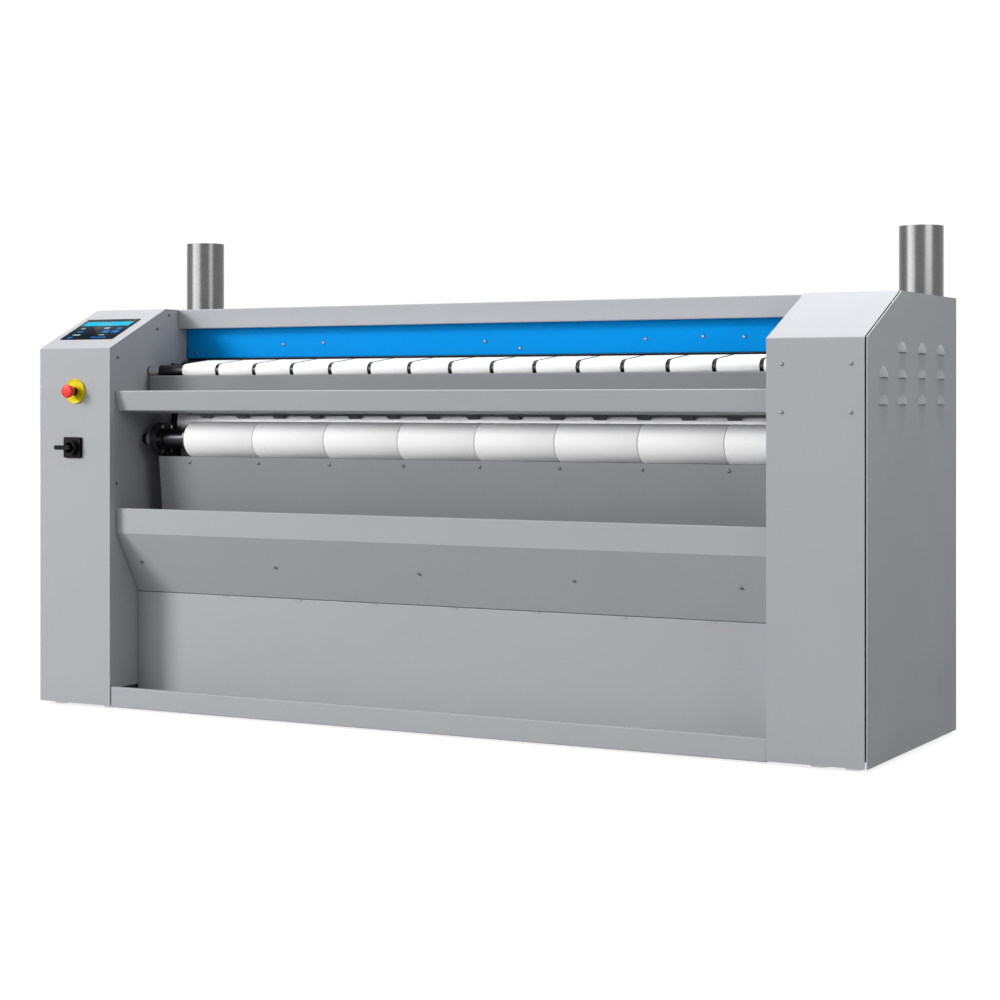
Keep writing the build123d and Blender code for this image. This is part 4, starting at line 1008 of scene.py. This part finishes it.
@dataclass
class GuardShadeLip:
    """Black rubber strip along the finger guard's lower edge, which keeps fingers out of the gap; its black
    is painted shade for the dark gap under the guard.
    """

    finish: Material
    depth: float = 0.342
    low: float = 0.9465
    high: float = 0.9545
    thickness: float = 0.002
    room: float = 0.012
    rounding: float = 0.0008

    def build(self) -> None:
        """Model the strip."""
        lip = block((LEFT_WALL + self.room, *side(self.depth, self.low)),
                    (RIGHT_WALL - self.room, *side(self.depth + self.thickness, self.high)))
        with editing(lip):
            pick_facing(lip, Towards.DOWN)
            bpy.ops.mesh.bevel(offset=self.rounding, segments=3, affect="EDGES")
        hand_over(lip, "guard_shade_lip", "guard", self.finish)


@dataclass
class Collars:
    """Polished collars on the roller journals that show beside the left inner wall."""

    finish: Material
    rim: float = 0.12
    rim_height: float = 0.0015

    def one(self, name: str, body: str, axis: Axis, radius: float, ends: tuple[float, float]) -> None:
        """Model one collar with a groove and rounded rims.

        Args:
            name: Its name.
            body: The roller that it turns with.
            axis: Its roller's axis.
            radius: Its radius.
            ends: Where it starts and ends along X.
        """
        y, z = side(*axis.value)
        collar = round_bar(((ends[0] + ends[1]) / 2, y, z), radius, ends[1] - ends[0], Way.X, 56)
        with editing(collar):
            pick_facing(collar, Towards.RIGHT)
            bpy.ops.mesh.inset(thickness=radius * self.rim, depth=0)
            extrude((self.rim_height, 0, 0))
        soften(collar, radius * self.rim, 4, 50)
        hand_over(collar, name, body, self.finish)

    def build(self) -> None:
        """Model the collars of the front feed roller and the front roller."""
        self.one("feed_roller_collar", "front_feed_body", Axis.FRONT_FEED, 0.0135, (-0.9435, -0.9095))
        self.one("front_roller_collar", "front_roller_body", Axis.FRONT_ROLLER, 0.0200, (-0.9330, -0.9125))


@dataclass
class EmergencyStop:
    """Emergency stop: yellow plate and red mushroom head on the left column."""

    finishes: Finishes
    x: float = -1.066
    z: float = 0.8605
    plate_radius: float = 0.0335
    plate_thickness: float = 0.005
    bore: float = 0.0113
    reach: float = 0.040
    head_radius: float = 0.0195
    head_length: float = 0.020
    skirt_radius: float = 0.0150
    rim: float = 0.0012
    rim_height: float = 0.0006
    ring: float = 0.0125
    undercut: float = 0.82
    undercut_length: float = 0.003
    dome: float = 0.0055
    palm_rings: tuple[tuple[float, float], ...] = ((0.0035, 0.0004), (0.0045, 0.0003))

    def plate(self) -> None:
        """Model the yellow plate with its raised rim round the barrel."""
        plate = round_bar((self.x, FRONT - self.plate_thickness / 2, self.z), self.plate_radius,
                          self.plate_thickness, Way.Y, 96)
        with editing(plate):
            pick_facing(plate, Towards.FRONT)
            bpy.ops.mesh.inset(thickness=self.rim, depth=0)
            extrude((0, self.rim_height, 0))
            bpy.ops.mesh.inset(thickness=self.ring, depth=0)
            extrude((0, -self.rim_height, 0))
            bpy.ops.mesh.inset(thickness=self.rim, depth=0)
        cut(plate, round_bar((self.x, FRONT, self.z), self.bore, 0.03, Way.Y))
        soften(plate, 0.0004, 2, 50)
        hand_over(plate, "stop_plate", "root", self.finishes.of[Slot.YELLOW], ("estop_collar",))

    def head(self) -> None:
        """Model the red head: skirt, undercut and domed palm with a shallow ring."""
        front = FRONT - self.reach
        head = round_bar((self.x, front + self.head_length / 2, self.z), self.head_radius, self.head_length,
                         Way.Y, 72)
        centre = (self.x, front, self.z)
        skirt = self.skirt_radius / self.head_radius
        with editing(head):
            pick_facing(head, Towards.BACK)
            bpy.ops.transform.resize(value=(skirt, 1, skirt), center_override=centre)
            extrude((0, 0, 0))
            bpy.ops.transform.resize(value=(self.undercut, 1, self.undercut), center_override=centre)
            extrude((0, -self.undercut_length, 0))
            pick_facing(head, Towards.FRONT)
            bpy.ops.mesh.bevel(offset=self.dome, segments=6, affect="EDGES")
            pick_facing(head, Towards.FRONT, 0.99)
            for width, depth in self.palm_rings:
                bpy.ops.mesh.inset(thickness=width, depth=depth)
        soften(head, 0.0008, 3, 50)
        hand_over(head, "stop_mushroom", "stop_head", self.finishes.of[Slot.RED], ("estop_head",))

    def build(self) -> None:
        """Model the plate and the head."""
        self.plate()
        self.head()


@dataclass
class MainSwitch:
    """Rotary main switch on the left column, its handle pointing left."""

    finish: Material
    x: float = -1.073
    z: float = 0.707
    plate: tuple[float, float, float] = (0.060, 0.056, 0.006)
    disc_radius: float = 0.0185
    disc_height: float = 0.014
    lever_length: float = 0.033
    lever_radius: float = 0.0095
    corner: float = 0.004
    rim: float = 0.0025
    rim_height: float = 0.0008
    air: float = 0.0005
    disc_taper: float = 0.88
    tip_taper: float = 0.42
    tip_length: float = 0.006

    def build(self) -> None:
        """Model the plate and the handle."""
        wide, tall, thick = self.plate
        plate = block((self.x - wide / 2, FRONT - thick, self.z - tall / 2),
                      (self.x + wide / 2, FRONT, self.z + tall / 2))
        round_corners(plate, Way.Y, self.corner, 4)
        with editing(plate):
            pick_facing(plate, Towards.FRONT)
            bpy.ops.mesh.inset(thickness=self.rim, depth=0)
            extrude((0, self.rim_height, 0))
        soften(plate, 0.0006, 2, 50)
        hand_over(plate, "switch_plate", "root", self.finish)
        top = FRONT - thick - self.air
        disc = round_bar((self.x, top - self.disc_height / 2, self.z),
                         self.disc_radius, self.disc_height, Way.Y)
        with editing(disc):
            pick_facing(disc, Towards.FRONT)
            bpy.ops.transform.resize(value=(self.disc_taper, 1, self.disc_taper),
                                     center_override=(self.x, top, self.z))
        level = top - self.disc_height + 0.001
        lever = round_bar((self.x - self.lever_length / 2, level, self.z),
                          self.lever_radius, self.lever_length, Way.X, 32)
        with editing(lever):
            pick_facing(lever, Towards.LEFT)
            bpy.ops.transform.resize(value=(1, self.tip_taper, self.tip_taper),
                                     center_override=(self.x, level, self.z))
            extrude((-self.tip_length, 0, 0))
            bpy.ops.mesh.bevel(offset=0.002, segments=3, affect="EDGES")
        soften(disc, 0.0015, 3, 40)
        hand_over(join([disc, lever]), "switch_handle", "switch_knob", self.finish)


@dataclass
class TouchScreen:
    """Touch screen on the left column's slanted top, with a plain picture of bars and keys."""

    finishes: Finishes
    width: float = 0.184
    length: float = 0.141
    glass: float = 0.0015
    start: float = 0.061
    slant_foot: float = 0.978
    slant: tuple[float, float] = (0.247, 0.114)
    x: float = LEFT + 0.018 + 0.096

    def place(self) -> Matrix:
        """Find the screen's place.

        Returns:
            The move from the XY plane to the slanted top.
        """
        slope = Vector((0, *self.slant)).normalized()
        middle = Vector((self.x, FRONT, self.slant_foot)) + slope * (self.start + self.length / 2)
        return facing(middle, (0, -slope.z, slope.y))

    def tile(self, left: float, bottom: float, right: float, top: float, corner: float) -> Piece:
        """Model one flat tile of the picture.

        Args:
            left: Its left edge, as a share of the glass.
            bottom: Its lower edge.
            right: Its right edge.
            top: Its upper edge.
            corner: Rounding of its corners.

        Returns:
            The tile, on the XY plane.
        """
        sizes = (self.width, self.length) * 2
        spot = [(share - 0.5) * size for share, size in zip((left, bottom, right, top), sizes)]
        tile = block((spot[0], spot[1], self.glass - 0.0002), (spot[2], spot[3], self.glass + 0.00025))
        round_corners(tile, Way.Z, corner, 3)
        return tile

    def build(self) -> None:
        """Model the glass and the picture."""
        glass = block((-self.width / 2, -self.length / 2, 0.0001),
                      (self.width / 2, self.length / 2, self.glass))
        round_corners(glass, Way.Z, 0.003, 5)
        soften(glass, 0.0004, 2, 60)
        glass.data.transform(self.place())
        hand_over(glass, "screen_glass", "root", self.finishes.of[Slot.SCREEN],
                  ("touch_screen",))
        band = ((0.06, 0.66, 0.94, 0.86, 0.0008),)
        keys = ((0.62, 0.30, 0.74, 0.42, 0.0015), (0.80, 0.30, 0.92, 0.42, 0.0015),
                (0.14, 0.34, 0.24, 0.40, 0.0015), (0.80, 0.48, 0.90, 0.56, 0.0015),
                (0.10, 0.06, 0.20, 0.11, 0.0015), (0.55, 0.06, 0.84, 0.10, 0.0015))
        marks = ((0.12, 0.50, 0.20, 0.55, 0.0015), (0.56, 0.50, 0.66, 0.58, 0.0015),
                 (0.14, 0.18, 0.28, 0.24, 0.0015), (0.64, 0.18, 0.74, 0.22, 0.0015),
                 (0.36, 0.70, 0.62, 0.72, 0.0004), (0.36, 0.80, 0.58, 0.82, 0.0004))
        for name, tiles, finish, lift in (("screen_band", band, self.finishes.cyan, 0.0),
                                          ("screen_keys", keys, self.finishes.blue, 0.0),
                                          ("screen_marks", marks, self.finishes.pale, 0.0001)):
            picture = join([self.tile(*tile) for tile in tiles])
            picture.data.transform(self.place() @ Matrix.Translation((0, 0, lift)))
            hand_over(picture, name, "root", finish)


@dataclass
class ExhaustPipe:
    """Stainless exhaust pipe with its folded seam at the back."""

    name: str
    x: float
    top: float
    finish: Material
    depth: float = 0.600
    bottom: float = 1.000
    radius: float = 0.055
    wall: float = 0.0015
    inset: float = 0.0002
    seam_angle: float = 6.0
    seam_height: float = 0.0007

    def build(self) -> None:
        """Model the pipe."""
        y, _ = side(self.depth, 0)
        pipe = round_bar((self.x, y, (self.top + self.bottom) / 2), self.radius - self.inset,
                         self.top - self.bottom, Way.Z, 128)
        with editing(pipe):
            pick(pipe, "faces", lambda face: abs(face.normal.z) > 0.9)
            bpy.ops.mesh.delete(type="FACE")
            pick_facing(pipe, Towards.BACK, math.cos(math.radians(self.seam_angle)))
            extrude((0, self.seam_height, 0))
        modify(pipe, "SOLIDIFY", thickness=self.wall, offset=-1)
        hand_over(pipe, f"{self.name}_pipe", "root", self.finish,
                  (f"{self.name}_exhaust_pipe",), 40)


# ------------------------------------------------------------------ floor, lamps and camera


@dataclass(frozen=True)
class Lamp:
    """Rectangular studio lamp."""

    name: str
    place: tuple[float, float, float]
    target: tuple[float, float, float]
    size: tuple[float, float]
    watts: float
    spread: float = 180.0

    def build(self) -> None:
        """Hang the lamp and turn it to its target."""
        bpy.ops.object.select_all(action="DESELECT")
        bpy.ops.object.light_add(type="AREA", location=self.place)
        lamp = bpy.context.object
        lamp.name = self.name
        lamp.data.shape = "RECTANGLE"
        lamp.data.size, lamp.data.size_y = self.size
        lamp.data.energy = self.watts
        lamp.data.spread = math.radians(self.spread)
        lamp.rotation_euler = (Vector(self.target) - Vector(self.place)).to_track_quat("-Z", "Y").to_euler()


@dataclass
class Studio:
    """Pale floor, white surroundings, soft lamps and the camera."""

    ambient: float = 0.22
    floor_size: float = 80.0
    floor_grey: float = 0.24
    floor_glow: float = 0.82
    glow_grows: tuple[float, float] = (1.5, 5.0)
    camera_place: tuple[float, float, float] = (2.7813, -4.9876, 0.8332)
    camera_turn: float = 28.487
    sensor: float = 36.0
    lens: float = 78.05
    shift: float = -0.0987
    lamps: tuple[Lamp, ...] = (
        Lamp("key", (-13.5, -13.9, 8.0), (0, -0.2, 0.7), (5.8, 4.9), 2850),
        Lamp("front_fill", (-3.0, -4.8, 1.5), (0, 0, 0.9), (5.0, 0.9), 100),
        Lamp("right_strip", (3.4, -1.3, 1.6), (1.1, 0.2, 1.3), (1.8, 0.7), 10, 120),
        Lamp("overhead_left", (-1.40, -0.10, 3.6), (-1.30, -0.20, 1.0), (1.0, 0.8), 10, 100),
        Lamp("overhead_right", (1.40, -0.10, 3.6), (1.15, -0.15, 1.0), (1.0, 0.8), 15, 90),
        Lamp("rear_overhead", (-1.0, 2.2, 3.6), (0, -0.2, 1.0), (4.5, 2.4), 80))

    def surroundings(self) -> None:
        """Set the world: soft grey light, white where it is seen."""
        world = bpy.data.worlds.new("studio")
        bpy.context.scene.world = world
        world.use_nodes = True
        nodes = Nodes(world.node_tree)
        background = world.node_tree.nodes["Background"]
        background.inputs["Color"].default_value = (1, 1, 1, 1)
        nodes.link(nodes.spread(nodes.seen(), self.ambient, 1.0, 0.0, 1.0), background.inputs["Strength"])

    def floor(self) -> None:
        """Lay the floor, lit enough to be white away from the machine's shadow."""
        bpy.ops.object.select_all(action="DESELECT")
        bpy.ops.mesh.primitive_plane_add(size=self.floor_size, location=(0, 0, 0))
        floor = bpy.context.object
        floor.name = "studio_floor"
        recipe = Recipe("pale_floor")
        recipe.set(Base_Color=(self.floor_grey,) * 3 + (1,), Roughness=0.8, Specular_IOR_Level=0.1,
                   Emission_Color=(1, 1, 1, 1))
        away = recipe.node("ShaderNodeVectorMath", operation="LENGTH")
        recipe.link(recipe.place(), away.inputs[0])
        reach = recipe.spread(away.outputs["Value"], self.floor_glow, 1.0, *self.glow_grows)
        recipe.feed("Emission Strength", recipe.maths("MULTIPLY", recipe.seen(), reach))
        floor.data.materials.append(recipe.material)

    def camera(self) -> None:
        """Set the camera at the photograph's viewpoint."""
        data = bpy.data.cameras.new("camera")
        camera = bpy.data.objects.new("camera", data)
        bpy.context.scene.collection.objects.link(camera)
        camera.location = self.camera_place
        camera.rotation_euler = (math.pi / 2, 0, math.radians(self.camera_turn))
        data.sensor_width = self.sensor
        data.lens = self.lens
        data.shift_y = self.shift
        bpy.context.scene.camera = camera

    def build(self) -> None:
        """Set up the whole studio."""
        self.surroundings()
        self.floor()
        self.camera()
        for lamp in self.lamps:
            lamp.build()
        bpy.context.scene.view_settings.view_transform = "Standard"


def main() -> None:
    """Build the sub-assemblies in order."""
    finishes = Finishes()
    Studio().build()
    Casing(finishes).build()
    loop = (wheel_at(Axis.FRONT_ROLLER, 0.045), wheel_at(Axis.REAR_BOTTOM_ROLLER, 0.030),
            wheel_at(Axis.REAR_TOP_ROLLER, 0.030), wheel_at(Axis.ENTRY_ROLLER, 0.038),
            wheel_at(Axis.CYLINDER, 0.165, -1))
    BandSet("ironing_band", "ironing_bands", loop, first=-0.783, pitch=0.226, width=0.2245,
            thickness=0.003, count=8, finish=finishes.of[Slot.BAND]).build()
    feed_loop = (wheel_at(Axis.FRONT_FEED, 0.017), wheel_at(Axis.REAR_FEED, 0.017))
    BandSet("feed_band", "feed_bands", feed_loop, first=FEED_BAND_START, pitch=0.1217,
            width=FEED_BAND_WIDTH, thickness=0.0015, count=15, finish=finishes.feed_cloth,
            arc_step=math.radians(12)).build()
    Screws(finishes.screws).build()
    GuardShadeLip(finishes.rubber_gap_shade).build()
    Collars(finishes.chrome).build()
    EmergencyStop(finishes).build()
    MainSwitch(finishes.of[Slot.BLACK]).build()
    TouchScreen(finishes).build()
    ExhaustPipe("left", x=-1.069, top=1.300, finish=finishes.of[Slot.POLISHED]).build()
    ExhaustPipe("right", x=1.125, top=1.270, finish=finishes.of[Slot.POLISHED]).build()


if __name__ == "__main__":
    main()
